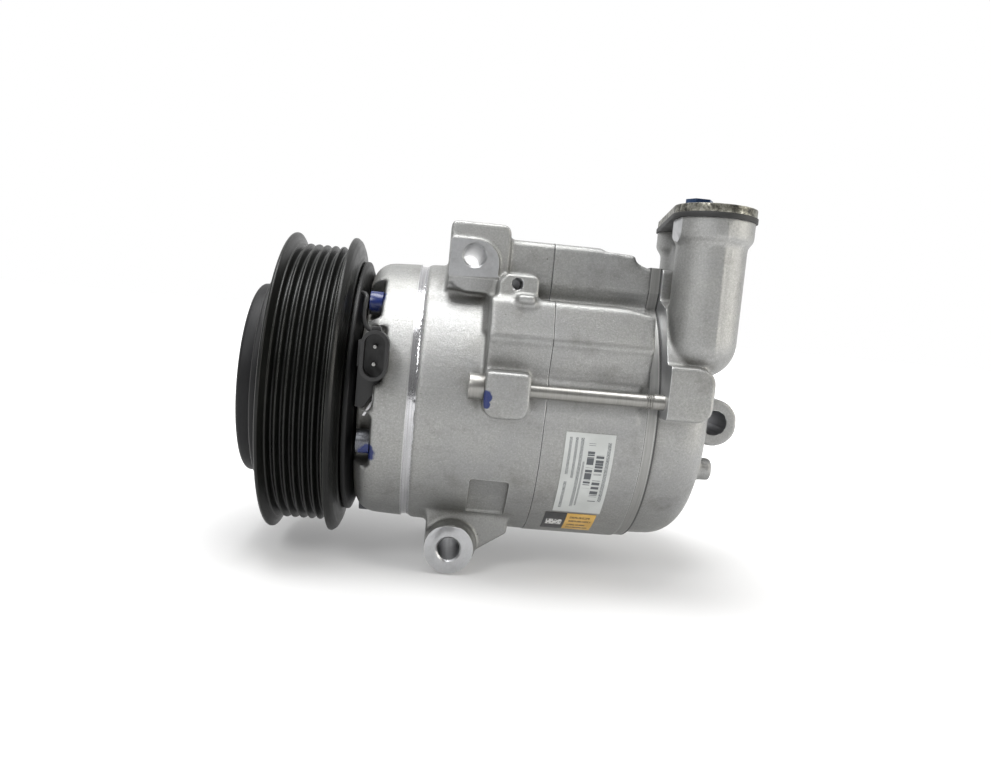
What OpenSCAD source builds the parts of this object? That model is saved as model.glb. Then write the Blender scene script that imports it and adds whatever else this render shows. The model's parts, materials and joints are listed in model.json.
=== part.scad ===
// Clutch-driven variable-displacement swash plate compressor for a car's air conditioning.
// +X runs along the shaft from the pulley to the rear head, +Z is up, and the coil
// connector faces -Y. The origin is on the shaft at the middle of the belt track.

/* [Pulley] */
// Radius over the crests of the belt ribs
rib_r = 60; // [59:0.5:60.5]
// Spacing of the belt grooves
groove_pitch = 3.56; // [3.5:0.02:3.6]
// Number of belt grooves
groove_n = 6; // [4:1:6]
// Radius of the pulley flanges
flange_r = 64.3; // [62:0.1:66]

/* [Clutch] */
// Outer radius of the black hub drum
drum_r = 41; // [40:0.5:43]
// Outer radius of the armature plate
armature_r = 46.5; // [45:0.5:48]
// Air gap between armature plate and pulley
air_gap = 0.55; // [0.5:0.01:0.7]
// Radius of the field coil's rear flange
coil_flange_r = 54.5; // [53:0.1:54.6]

/* [Casings] */
// Outer radius of the crankcase at its front end
crankcase_r = 56; // [55.5:0.1:56.5]
// Outer radius of the cylinder block
block_r = 57.5; // [57.2:0.1:58]
// Place of the joint between front housing and crankcase
front_joint_x = 41.4; // [41.2:0.1:41.8]
// Place of the joint between crankcase and cylinder block
mid_joint_x = 94.4; // [94:0.1:94.6]
// Rear end of the cylinder block
block_end_x = 134; // [133.8:0.1:134.2]
// Rear face of the rear head
head_end_x = 162; // [160:0.5:163]

/* [Mounting ears] */
// Place of the two front ears along the shaft
ear_x = 62.7; // [62:0.1:63.4]
// Height of the front ears' bores above and below the shaft
ear_z = 59.3; // [59:0.1:60]
// Radius of the upper ear's bore
upper_bore_r = 4.2; // [3.5:0.1:4.4]
// Radius of the lower ear's bore
lower_bore_r = 4.5; // [3.5:0.1:4.6]
// Place of the rear ear along the shaft
rear_ear_x = 170; // [169:0.5:172]
// Radius of the rear ear's bore
rear_bore_r = 5.1; // [4:0.1:5.6]

/* [Ports] */
// Height of the port faces above the shaft
port_z = 80; // [78:0.5:82]
// Bore radius of the suction port
suction_r = 8; // [6:0.5:8.5]
// Bore radius of the discharge port
discharge_r = 6.5; // [5:0.5:7]

/* [Mechanism] */
// Distance of the cylinders from the shaft
pitch_r = 35.5; // [35.3:0.1:35.7]
// Radius of a cylinder bore
bore_r = 16; // [15.5:0.1:16]
// Running clearance round a piston, a shaft and a ball
fit = 0.05; // [0.03:0.01:0.06]
// Middle plane of the swash plate when it stands square
swash_x = 78; // [77.5:0.5:78.5]
// Outer radius of the swash plate
swash_r = 43.5; // [42:0.1:43.6]
// Steepest tilt of the swash plate, in degrees
tilt_max = 16; // [10:1:16]
// Radius of the through bolts' circle
bolt_circle_r = 49.8; // [49.6:0.1:50]

/* [Hidden] */
$fn = 96;
e = 0.1;                    // how far a cutter runs past the face it cuts
cyl_n = 6;                  // cylinders, with a through bolt between each two
cyl_a0 = 15;                // first cylinder's angle, from -Y towards +Z
bolt_angles = [-20, 48, 108, 165, 225, 280];
bolt_hole_r = 3.3;          // clearance hole for an M6 bolt
m6_r = 3;

// pulley and its bearing
pulley_front_x = -16.5;
flange_front_x = -13.9;
friction_t = 4.5;
pulley_in_r = 52.2;
pulley_hub_r = 31.5;
groove_depth = 2.8;
groove_foot = 0.45;         // half the width of a groove's floor
groove_top = groove_foot + groove_depth * tan(20);
race_x0 = -13;
race_x1 = 7;
race_in_r = 17.5;
race_mid = 22.5;            // pitch radius of the balls
race_out_r = 27.5;
race_land = 1.7;            // from the ball circle to each race's land
ball_r = 3;
ball_n = 12;
ball_rows = [-8, 2];

// clutch
plate_x1 = pulley_front_x - air_gap;
plate_x0 = -20;
drum_x0 = -26.5;
damper_r = 33;
core_r = 20;
rivet_circle = 37;
rivet_r = 2.5;

// nose of the front housing and the field coil on it
nose_x0 = -15;
nose_step_x = 9.5;
nose_step_r = 24;
coil_x0 = -10.5;
coil_x1 = 17.2;
coil_out_r = 50.8;
coil_in_r = 33;
flange_x1 = 21;
connector = [28.2, 17.6];   // its centre in X and Z
connector_y = -62;

// casings
housing_x0 = 21.6;
cavity_x0 = 33.5;
cavity_r = 42.6;
land_x = 45;
lobe_x0 = 44.6;
lobe_r = bore_r + 1;
mid_gasket_t = 0.3;
block_x0 = mid_joint_x + mid_gasket_t;
bolt_seat_x = 28;
bolt_head_x = 22.9;
bolt_head_r = 4.7;
bolt_end_x = 150;

// the sheets between block and rear head: each starts where the last one ends
sheet_x = [for (t = [0, 0.3, 0.7, 3.7, 4.1, 4.8]) block_end_x + t];
head_x0 = sheet_x[5];
sheet_r = 57;
suction_hole = [42.9, 2.6]; // distance from the shaft, radius
discharge_hole = [28, 2.5];

// rear head
head_r = 55.5;
discharge_out_r = 37;
suction_in_r = 40;
suction_out_r = 45.6;
near_port = [153, -53];
far_port = [157, 0];
cover_bolt = [154, -27];
tower_r = 13.5;
collar_r = 15.5;
far_collar_r = 12;
collar_h = 7;
gasket_t = 2;
cover_t = 3.2;
cover_hole_r = 3.4;

// exposed side bolt
side_y = -61.4;
side_z = 9.6;
side_boss_x0 = 69.9;
side_boss_x1 = 87;

// swash mechanism
shaft_r = 8;
plate_half = 4;
shoe_gap = 0.15;
shoe_r = 8;
slot_half = 6.4;            // half the piston's slot beside the shoes
slot_wide = 9.2;            // half the slot where the tilted plate sweeps
bridge_r = 44.3;            // inner radius of the piston bridges
piston_x0 = 66;
piston_top_x = 133.5;
piston_inner_r = 29;
sleeve_r = 12;
trunnion_r = 3;
pin_r = 2.6;
pin_at = [-20, 17.5];       // hinge pin from the tilt centre, in X and Z
tilt_shift = pitch_r * tan(tilt_max);
pin_tilted = [
    pin_at[0] * cos(tilt_max) + pin_at[1] * sin(tilt_max) - tilt_shift,
    -pin_at[0] * sin(tilt_max) + pin_at[1] * cos(tilt_max)
];

// ---------------------------------------------------------------- shared shapes

// A cylinder along X
module xcyl(x0, x1, r, y = 0, z = 0) {
    translate([x0, y, z]) rotate([0, 90, 0]) cylinder(h = x1 - x0, r = r);
}
// A tube along X
module xtube(x0, x1, r_out, r_in) {
    difference() {
        xcyl(x0, x1, r_out);
        xcyl(x0 - 1, x1 + 1, r_in);
    }
}
// A cylinder along Y
module ycyl(x, z, y0, y1, r) {
    translate([x, y0, z]) rotate([-90, 0, 0]) cylinder(h = y1 - y0, r = r);
}
// A cylinder along Z
module zcyl(x, y, z0, z1, r) {
    translate([x, y, z0]) cylinder(h = z1 - z0, r = r);
}
// A box from its two corners
module box(low, high) {
    translate(low) cube(high - low);
}
// A turned shape from [radius, x] points
module turned(points) {
    rotate([0, 90, 0]) rotate_extrude() polygon(points);
}
// A Y-Z outline drawn out along X
module along_x(x0, x1) {
    translate([x0, 0, 0]) rotate([90, 0, 90]) linear_extrude(x1 - x0) children();
}
// An X-Z outline drawn out along Y
module along_y(y0, y1) {
    translate([0, y1, 0]) rotate([90, 0, 0]) linear_extrude(y1 - y0) children();
}
// Places at radius r and angle a from -Y towards +Z
function at_angle(r, a) = [0, -r * cos(a), r * sin(a)];
function flat_at(r, a) = [-r * cos(a), r * sin(a)];
module round_bolts(r = bolt_circle_r) {
    for (a = bolt_angles) translate(at_angle(r, a)) children();
}
module flat_bolts() {
    for (a = bolt_angles) translate(flat_at(bolt_circle_r, a)) children();
}
module flat_cylinders(r) {
    for (k = [0:cyl_n - 1]) translate(flat_at(r, cyl_a0 + k * 360 / cyl_n)) children();
}
function arc(c, r, a0, a1, n = 6) = [for (i = [0:n]) c + r * [cos(a0 + (a1 - a0) * i / n),
                                                              sin(a0 + (a1 - a0) * i / n)]];
// Cross-section of the box-shaped duct on top, in Y and Z
module ridge_2d() {
    polygon(concat([[6, 40], [6, 66.5]], arc([4, 65.5], 2, 30, 90, 3), arc([-35, 64.5], 3, 90, 180),
                   [[-38, 51.5], [-35, 44.5], [-33, 40]]));
}
// Cross-section of the duct along the side, in Y and Z
module side_duct_2d() {
    polygon(concat([[-30, 44]], arc([-54, 41], 3, 90, 170), [[-60, 32]],
                   arc([-58, 29], 3, 170, 230), [[-56, 14], [-50, 12], [-30, 20]]));
}
// Cross-section of the flat ledge under the side bolt
module ledge_2d() {
    polygon([[-50, 20], [-56, 16], [-58.4, 12], [-58.4, 0.6], [-56.6, -3.2], [-50, -4]]);
}
// Hexagon with the given distance across flats
module hexagon(across) {
    circle(r = across / sqrt(3), $fn = 6);
}

// ---------------------------------------------------------------- clutch

module clutch_hub() {
    color([0.16, 0.16, 0.17]) difference() {
        union() {
            xcyl(-24.6, -21.6, core_r);
            xcyl(-24.6, -12.5, 11.5);
        }
        xcyl(-24.6 - e, -19, 9.2);
        xcyl(-20, -12, 7.5);
    }
}
module hub_damper() {
    color([0.07, 0.07, 0.07]) xtube(-24.1, -21.1, damper_r, core_r);
}
module hub_drum() {
    color([0.1, 0.1, 0.1]) difference() {
        turned([[damper_r + 0.15, drum_x0 + 0.4], [damper_r + 0.6, drum_x0], [drum_r - 1, drum_x0],
                [drum_r, drum_x0 + 1], [drum_r, plate_x0], [damper_r + 0.15, plate_x0]]);
        armature_rivets();
    }
}
module armature_plate() {
    color([0.2, 0.2, 0.21]) difference() {
        turned([[24, plate_x0], [armature_r - 0.6, plate_x0], [armature_r, plate_x0 + 0.6],
                [armature_r, plate_x1], [24, plate_x1]]);
        armature_rivets();
    }
}
module armature_rivets() {
    color([0.4, 0.4, 0.42]) for (k = [0:2]) {
        translate(at_angle(rivet_circle, 90 + k * 120)) xcyl(drum_x0 + 0.1, plate_x1 - 0.1, rivet_r);
    }
}
module hub_nut() {
    color([0.5, 0.5, 0.5]) difference() {
        translate([-23.6, 0, 0]) rotate([0, 90, 0]) linear_extrude(4.6) hexagon(14);
        xcyl(-25, -18, 5);
    }
}
module pulley() {
    first = -(groove_n - 1) / 2;
    grooves = [for (i = [0:groove_n - 1]) for (p = [[rib_r, -groove_top], [rib_r - groove_depth, -groove_foot],
                                                    [rib_r - groove_depth, groove_foot], [rib_r, groove_top]])
        [p[0], p[1] + (first + i) * groove_pitch]];
    color([0.09, 0.09, 0.08]) difference() {
        turned(concat(
            [[26, pulley_front_x], [51, pulley_front_x], [51.5, pulley_front_x + 0.5],
             [53, flange_front_x], [flange_r - 0.6, flange_front_x], [flange_r, flange_front_x + 0.6],
             [flange_r, -12.5], [rib_r, -10.9]],
            grooves,
            [[rib_r, 10.8], [flange_r, 11.8], [flange_r, 12.8], [flange_r - 1.1, 14.2],
             [flange_r - 3.3, 15.2], [56.2, 16], [55.4, 16.6], [pulley_in_r, 16.6],
             [pulley_in_r, pulley_front_x + friction_t], [pulley_hub_r, pulley_front_x + friction_t],
             [pulley_hub_r, 9], [race_out_r, 9], [race_out_r, 8.3], [28.7, 8.3], [28.7, 7.1],
             [race_out_r, 7.1], [race_out_r, race_x0], [26, race_x0]]));
        // three flux slots through the friction disc
        difference() {
            xtube(pulley_front_x - e, pulley_front_x + friction_t + e, 43, 40);
            for (k = [0:2]) rotate([k * 120, 0, 0]) box([-20, -5, 0], [-10, 5, 50]);
        }
    }
}
module raceways() {
    for (x = ball_rows) rotate([0, 90, 0]) translate([0, 0, x]) rotate_extrude() {
        translate([race_mid, 0]) circle(r = ball_r + fit);
    }
}
module pulley_bearing_outer() {
    color([0.6, 0.6, 0.62]) difference() {
        xtube(race_x0, race_x1, race_out_r, race_mid + race_land);
        raceways();
    }
}
module pulley_bearing_inner() {
    color([0.6, 0.6, 0.62]) difference() {
        xtube(race_x0, race_x1, race_mid - race_land, race_in_r);
        raceways();
    }
}
module ball_places() {
    for (x = ball_rows) for (k = [0:ball_n - 1]) {
        translate([x, 0, 0] + at_angle(race_mid, k * 360 / ball_n)) children();
    }
}
module pulley_bearing_balls() {
    color([0.7, 0.7, 0.72]) {
        ball_places() sphere(r = ball_r, $fn = 32);
        difference() {
            xtube(race_x0 + 1, race_x1 - 1, race_mid + 0.6, race_mid - 0.6);
            ball_places() sphere(r = ball_r + fit, $fn = 32);
        }
    }
}
// An open retaining ring with a gap at the top
module open_ring(x0, x1, r_out, r_in, gap) {
    difference() {
        xtube(x0, x1, r_out, r_in);
        box([x0 - 1, -gap / 2, 0], [x1 + 1, gap / 2, r_out + 1]);
    }
}
module bearing_snap_ring() {
    color([0.35, 0.35, 0.36]) open_ring(7.1, 8.3, 28.7, 26, 6);
}
module nose_snap_ring() {
    color([0.35, 0.35, 0.36]) open_ring(-14.2, -13, 19.5, 16.7, 5);
}
module coil_snap_ring() {
    color([0.35, 0.35, 0.36]) open_ring(10.8, 12, 27, 22.5, 6);
}
module coil_body() {
    color([0.1, 0.1, 0.1]) difference() {
        turned([[nose_step_r, 12], [coil_in_r, 12], [coil_in_r, coil_x0], [coil_out_r, coil_x0],
                [coil_out_r, coil_x1], [coil_flange_r, coil_x1], [coil_flange_r, 19], [49, flange_x1],
                [nose_step_r, flange_x1]]);
        xtube(coil_x0 - e, 12, coil_out_r - 2.8, coil_in_r + 2.5);
    }
}
module coil_winding() {
    color([0.55, 0.3, 0.12]) xtube(coil_x0 + 0.5, 12, coil_out_r - 2.8, coil_in_r + 2.5);
}

// ---------------------------------------------------------------- coil connector

// A slot-shaped outline in X and Z, centred on the connector
module oval_2d(r, half) {
    translate(connector) {
        translate([0, half]) circle(r);
        translate([0, -half]) circle(r);
        square([2 * r, 2 * half], center = true);
    }
}
module coil_connector() {
    color([0.06, 0.06, 0.06]) difference() {
        union() {
            along_y(connector_y, -55.2) oval_2d(5.25, 4.25);
            along_y(-56, -44.8) oval_2d(2.6, 4);
            box([flange_x1, -50.5, 12.5], [27, -45, 22.5]);
        }
        along_y(connector_y - e, -56.2) oval_2d(3.9, 4.25);
    }
}
module connector_pins() {
    color([0.75, 0.75, 0.7]) for (s = [-1, 1]) {
        ycyl(connector[0], connector[1] + 3.3 * s, connector_y + 1.5, -56.2, 0.7);
    }
}

// ---------------------------------------------------------------- casings

module front_housing() {
    color([0.72, 0.72, 0.7]) difference() {
        union() {
            turned([[0, 20], [nose_step_r, 20], [nose_step_r, housing_x0 + 0.4], [48.5, housing_x0],
                    [51.5, 23], [53.4, 25], [54.6, 27.5], [55, 30], [55.6, front_joint_x],
                    [0, front_joint_x]]);
            xcyl(nose_x0, 21, race_in_r);
            xcyl(race_x1, 21, 20);
            xcyl(nose_step_x, 21, nose_step_r);
        }
        xcyl(nose_x0 - e, cavity_x0 + e, shaft_r + 0.6);
        xcyl(nose_x0 - e, -3, 14);
        xcyl(18, cavity_x0 + e, sleeve_r);
        xcyl(cavity_x0, front_joint_x + e, cavity_r);
        xtube(-14.2, -13, 20, 16.7);
        xtube(10.8, 12, 30, 22.5);
        xtube(39.5, front_joint_x + e, 46.1, 43.9);
        round_bolts() {
            xcyl(housing_x0 - 2, front_joint_x + e, bolt_hole_r);
            xcyl(housing_x0 - 2, bolt_seat_x, 6);
        }
        // wide recesses at the two bolts on the connector's side, and the one for the connector
        for (a = [-18, 48]) rotate([-a, 0, 0]) box([20, -60, -11.5], [bolt_seat_x, -44.2, 11.5]);
        box([20, -60, 6.5], [31.2, -44.6, 28.5]);
        box([20, -60, -4], [bolt_seat_x, -44.6, 7]);
    }
}
module front_o_ring() {
    color([0.05, 0.05, 0.05]) rotate([0, 90, 0]) translate([0, 0, 40.44]) rotate_extrude() {
        translate([45, 0]) circle(r = 0.95, $fn = 24);
    }
}
module crankcase() {
    color([0.7, 0.7, 0.68]) difference() {
        union() {
            xcyl(front_joint_x, land_x + 1, 54.8);
            turned([[0, land_x], [crankcase_r - 0.6, land_x], [crankcase_r, land_x + 0.6],
                    [57.3, mid_joint_x], [0, mid_joint_x]]);
            // upper ear: machined face, then the rougher block behind it
            along_y(-42, -35) polygon(concat([[53, 44.8]], [[53, 65.4]], arc([63.6, 56.4], 9, 90, 0),
                                             [[72.6, 44.8]], arc([61, 52.8], 8, 270, 190)));
            for (part = [[-40, -35, 45.6], [-36, 28, 40]]) along_y(part[0], part[1]) {
                polygon(concat([[52.6, part[2]], [52.6, 69.6]], arc([54.6, 70.6], 2, 180, 90, 3),
                               arc([73.2, 69.2], 3.4, 90, 0), [[76.6, part[2]]]));
            }
            // lower ear, its shoulder and the gusset behind it
            ycyl(ear_x, -ear_z, -42, 30, 10.1);
            ycyl(ear_x + 0.8, -ear_z, -36, 26, 10.6);
            along_y(-33, 24) polygon([[53, -62], [52.2, -40], [87, -45], [86.5, -53.5], [78.5, -58.8],
                                      [72, -63]]);
            // small tapped boss and the clip step beneath it
            along_y(-54, -30) polygon([[72.6, 43], [72.6, 50], [75.6, 53.2], [86.4, 53.2], [88, 51.6],
                                       [88, 43]]);
            box([79.6, -59, 42.2], [86.8, -40, 45.4]);
            along_x(76, mid_joint_x) ridge_2d();
            along_x(70, mid_joint_x) side_duct_2d();
            along_x(side_boss_x1 - 1, mid_joint_x) ledge_2d();
            // boss under the head of the side bolt
            along_y(-68, -48) polygon(concat([[side_boss_x0, 15.5], [70.7, 16.3], [86.2, 16.3], [side_boss_x1, 15.5]],
                                             arc([82.6, 3], 4.4, 0, -90), arc([74.9, 3.5], 5, 270, 180)));
            // square pad
            rotate([-40, 0, 0]) box([68.6, -58.4, -9], [82.3, -50, 10]);
        }
        along_x(lobe_x0, mid_joint_x + e) {
            circle(bridge_r + 0.3);
            flat_cylinders(pitch_r) circle(lobe_r);
        }
        xcyl(front_joint_x - e, lobe_x0 + e, cavity_r);
        round_bolts() xcyl(front_joint_x - e, mid_joint_x + e, bolt_hole_r);
        ycyl(ear_x, ear_z, -43, 29, upper_bore_r);
        ycyl(ear_x, -ear_z, -43, 31, lower_bore_r);
        ycyl(79.6, 49.3, -55, -40, 2.1);
        xcyl(side_boss_x0 - e, side_boss_x1 + e, bolt_hole_r, side_y, side_z);
    }
}
module mid_gasket() {
    color([0.25, 0.25, 0.26]) along_x(mid_joint_x, block_x0) difference() {
        union() {
            circle(sheet_r);
            ridge_2d();
            side_duct_2d();
        }
        circle(bridge_r + 0.3);
        flat_cylinders(pitch_r) circle(lobe_r);
        flat_bolts() circle(bolt_hole_r);
    }
}
module cylinder_block() {
    color([0.71, 0.71, 0.69]) difference() {
        union() {
            xcyl(block_x0, block_end_x, block_r);
            intersection() {
                along_x(block_x0, block_end_x) ridge_2d();
                along_y(-45, 10) polygon([[90, 35], [90, 75], [114.5, 75], [114.5, 66.2], [127.5, 65.8],
                                          [127.5, 63.8], [130.5, 61.8], [134.5, 60.6], [134.5, 35]]);
            }
            intersection() {
                along_x(block_x0, 133.6) side_duct_2d();
                along_y(-70, -20) polygon([[90, 5], [90, 43.2], [108.6, 47], [134, 41.6], [134, 5]]);
            }
            along_x(block_x0, 130.5) ledge_2d();
        }
        for (k = [0:cyl_n - 1]) translate(at_angle(pitch_r, cyl_a0 + k * 60)) {
            xcyl(block_x0 - e, block_end_x + e, bore_r);
        }
        xcyl(block_x0 - e, 100, shaft_r + 1);
        xcyl(99, block_end_x + e, sleeve_r);
        round_bolts() xcyl(block_x0 - e, block_end_x + e, bolt_hole_r);
    }
}

// ---------------------------------------------------------------- sheets and rear head

// One sheet of the stack, with its bolt holes
module sheet(i) {
    along_x(sheet_x[i], sheet_x[i + 1]) difference() {
        union() {
            circle(sheet_r);
            intersection() {
                ridge_2d();
                square([90, 61.5]);
            }
            intersection() {
                ridge_2d();
                translate([-90, 0]) square([91, 61.5]);
            }
        }
        flat_bolts() circle(bolt_hole_r);
        children();
    }
}
module flat_ports(where) {
    flat_cylinders(where[0]) circle(where[1]);
}
module block_gasket() {
    color([0.2, 0.2, 0.21]) sheet(0) {
        flat_cylinders(pitch_r) circle(bore_r);
        circle(sleeve_r);
    }
}
// A slit that frees a reed's tongue over a port; its tip points away from the shaft
module reed_slit(r) {
    difference() {
        circle(r + 1.6);
        circle(r + 1);
        translate([0, -20]) square([20, 40]);
    }
    for (s = [-1, 1]) translate([-e, s * (r + 1.3) - 0.3]) square([9, 0.6]);
}
module suction_reeds() {
    color([0.5, 0.5, 0.52]) sheet(1) {
        flat_ports(discharge_hole);
        for (k = [0:cyl_n - 1]) rotate(-(cyl_a0 + k * 60)) {
            translate([-suction_hole[0], 0]) reed_slit(suction_hole[1]);
        }
    }
}
module valve_plate() {
    color([0.55, 0.55, 0.57]) sheet(2) {
        flat_ports(suction_hole);
        flat_ports(discharge_hole);
    }
}
module discharge_reeds() {
    color([0.5, 0.5, 0.52]) sheet(3) {
        flat_ports([suction_hole[0], suction_hole[1] + 0.4]);
        for (k = [0:cyl_n - 1]) rotate(-(cyl_a0 + k * 60)) {
            translate([-discharge_hole[0], 0]) mirror([1, 0]) reed_slit(discharge_hole[1]);
        }
    }
}
module head_gasket() {
    color([0.2, 0.2, 0.21]) sheet(4) {
        circle(discharge_out_r);
        difference() {
            circle(suction_out_r);
            circle(suction_in_r);
            for (a = bolt_angles) rotate(-a) translate([-50, -2]) square([15, 4]);
        }
    }
}
module rear_head() {
    control = [14, -24];
    relief = [24, 20];
    color([0.71, 0.71, 0.69]) difference() {
        union() {
            turned(concat([[0, head_x0], [head_r, head_x0], [head_r - 0.3, 149]],
                          [for (a = [10:16:90]) [44 + 11.2 * cos(a), head_end_x - 13 + 13 * sin(a)]],
                          [[0, head_end_x]]));
            // suction port tower with its round foot and collar
            translate([near_port[0], near_port[1], 33.5]) sphere(r = tower_r);
            zcyl(near_port[0], near_port[1], 33.5, port_z - 1, tower_r);
            zcyl(near_port[0], near_port[1], port_z - collar_h, port_z, collar_r);
            translate([near_port[0], near_port[1], port_z - collar_h - 2.5]) {
                cylinder(h = 2.6, r1 = tower_r - 0.1, r2 = collar_r - 0.1);
            }
            // discharge port tower and collar
            zcyl(far_port[0], far_port[1], 40, port_z - 1, 9.6);
            zcyl(far_port[0], far_port[1], port_z - collar_h, port_z, far_collar_r);
            translate([far_port[0], far_port[1], port_z - collar_h - 3]) {
                cylinder(h = 3.1, r1 = 9.5, r2 = far_collar_r - 0.1);
            }
            // web and cover bolt boss between the towers
            box([150, near_port[1], 44], [160, far_port[1], 74]);
            zcyl(cover_bolt[0], cover_bolt[1], 44, port_z, 7.6);
            // link from the stack to the suction tower, in line with the top duct
            box([head_x0, -39.5, 40], [150.4, -14, 61.2]);
            // slab behind the tower and the boss for the side bolt
            along_x(head_x0, 156) polygon([[-36, 3.4], [-61, 3.4], [-61, 25], [-50, 45], [-36, 50]]);
            along_y(-68, -60) polygon(concat([[head_x0, 3.4], [head_x0, 24]], arc([150.4, 18], 6, 90, 0),
                                             arc([150.4, 9.4], 6, 0, -90)));
            // rear ear and its root
            ycyl(rear_ear_x, 0, -30, 30, 10);
            box([158, -26, -8], [168, 26, 8]);
            // plugged drilling beside the ear
            xcyl(158, 168.4, 4.7, -35, -19);
        }
        // discharge chamber, leaving a wall round the control valve
        difference() {
            xcyl(head_x0 - e, 153, discharge_out_r);
            xcyl(head_x0 - 1, head_end_x, 11, control[0], control[1]);
        }
        // suction chamber, leaving a wall round the discharge drilling
        difference() {
            xtube(head_x0 - e, 154, suction_out_r, suction_in_r);
            zcyl(153, 0, 30, 60, 7);
        }
        zcyl(near_port[0], near_port[1], 24, port_z + e, suction_r);
        ycyl(near_port[0] - 3, 23, near_port[1], -36, 4.5);
        zcyl(far_port[0], far_port[1], 54, port_z + e, discharge_r);
        zcyl(153, 0, 33, 55, 4.5);
        zcyl(cover_bolt[0], cover_bolt[1], 56, port_z + e, m6_r);
        round_bolts() xcyl(head_x0 - e, bolt_end_x + 1, m6_r);
        xcyl(head_x0 - e, 153, m6_r, side_y, side_z);
        xcyl(142, head_end_x + 5, 8, control[0], control[1]);
        xcyl(152, head_end_x + 5, 5, relief[0], relief[1]);
        ycyl(rear_ear_x, 0, -31, 31, rear_bore_r);
    }
}
module control_valve() {
    color([0.5, 0.48, 0.42]) {
        xcyl(142, 165, 8, 14, -24);
        xcyl(165, 168, 5.5, 14, -24);
    }
}
module relief_valve() {
    color([0.75, 0.6, 0.3]) {
        xcyl(152, head_end_x, 5, 24, 20);
        translate([head_end_x, 24, 20]) rotate([90, 0, 90]) linear_extrude(5) hexagon(13);
        xcyl(head_end_x + 5, head_end_x + 7, 4, 24, 20);
    }
}
module through_bolts() {
    color([0.1, 0.16, 0.4]) round_bolts() difference() {
        union() {
            xcyl(bolt_head_x, bolt_seat_x, bolt_head_r);
            xcyl(bolt_seat_x - 1, bolt_end_x, m6_r);
        }
        translate([bolt_head_x - e, 0, 0]) rotate([0, 90, 0]) cylinder(h = 3, r = 2.9, $fn = 6);
    }
}
module side_bolt() {
    color([0.6, 0.58, 0.55]) translate([0, side_y, side_z]) difference() {
        union() {
            xcyl(64.2, side_boss_x0, 5);
            xcyl(side_boss_x0 - 1, 135, 2.68);
            xcyl(134.5, 152, m6_r);
        }
        translate([64.1, 0, 0]) rotate([0, 90, 0]) cylinder(h = 3, r = 2.9, $fn = 6);
    }
}

// ---------------------------------------------------------------- transport cover

// Outline over both ports: two discs and their common tangents
module cover_2d(grow) {
    span = far_port - near_port;
    r1 = collar_r + grow;
    r2 = far_collar_r + grow;
    turn = acos((r1 - r2) / norm(span));
    way = atan2(span[1], span[0]);
    translate(near_port) circle(r1);
    translate(far_port) circle(r2);
    polygon([for (s = [-1, 1]) for (j = [0, 1])
        let (first = (s < 0) == (j == 0),
             a = way + s * turn)
        (first ? near_port + r1 * [cos(a), sin(a)] : far_port + r2 * [cos(a), sin(a)])]);
}
module cover_sheet(z0, z1, grow) {
    difference() {
        translate([0, 0, z0]) linear_extrude(z1 - z0) cover_2d(grow);
        zcyl(cover_bolt[0], cover_bolt[1], z0 - 1, z1 + 1, cover_hole_r);
    }
}
module transport_gasket() {
    color([0.08, 0.08, 0.08]) cover_sheet(port_z, port_z + gasket_t, 0.7);
}
module transport_plate() {
    color([0.7, 0.66, 0.5]) cover_sheet(port_z + gasket_t, port_z + gasket_t + cover_t, 0.2);
}
module transport_bolt() {
    top = port_z + gasket_t + cover_t;
    color([0.1, 0.15, 0.28]) {
        zcyl(cover_bolt[0], cover_bolt[1], 60, top, 2.95);
        zcyl(cover_bolt[0], cover_bolt[1], top, top + 1.2, 6.2);
        translate([cover_bolt[0], cover_bolt[1], top + 1.2]) linear_extrude(5.4) hexagon(10);
    }
}

// ---------------------------------------------------------------- labels

module wrapped_sheet(x0, x1, a0, a1) {
    along_x(x0, x1) intersection() {
        difference() {
            circle(block_r + 0.15, $fn = 180);
            circle(block_r, $fn = 180);
        }
        polygon([[0, 0], flat_at(80, a0), flat_at(90, (a0 + a1) / 2), flat_at(80, a1)]);
    }
}
module label() {
    color([0.85, 0.88, 0.86]) wrapped_sheet(103.5, 123, -5, -44);
}
module sticker() {
    color([0.75, 0.5, 0.1]) wrapped_sheet(101, 122, -45.5, -62);
}

// ---------------------------------------------------------------- shaft and swash plate

module drive_shaft() {
    color([0.62, 0.62, 0.64]) turned([[0, -24.2], [4.5, -24.2], [5, -23.7], [5, -19], [7.5, -19],
                                      [7.5, -12.3], [shaft_r, -12.3], [shaft_r, 97], [7, 98],
                                      [7, 116], [0, 116]]);
}
module shaft_seal() {
    color([0.1, 0.1, 0.1]) difference() {
        xtube(-11, -3, 14, shaft_r + fit);
        xtube(-12, -6, 12, 9.5);
    }
}
module front_needle_bearing() {
    color([0.6, 0.6, 0.62]) xtube(18, 32, sleeve_r, shaft_r + fit);
}
module front_thrust_bearing() {
    color([0.6, 0.6, 0.62]) xtube(cavity_x0, 35.9, 26, 14);
}
module lug_plate() {
    color([0.45, 0.45, 0.46]) difference() {
        union() {
            xcyl(36, 44, 38);
            for (s = [-1, 1]) translate([0, s * 6.4, 0]) box([43, -1.9, 12.6], [63.4, 1.9, 26.6]);
        }
        xcyl(35, 45, shaft_r);
        pin_slot();
    }
}
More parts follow.
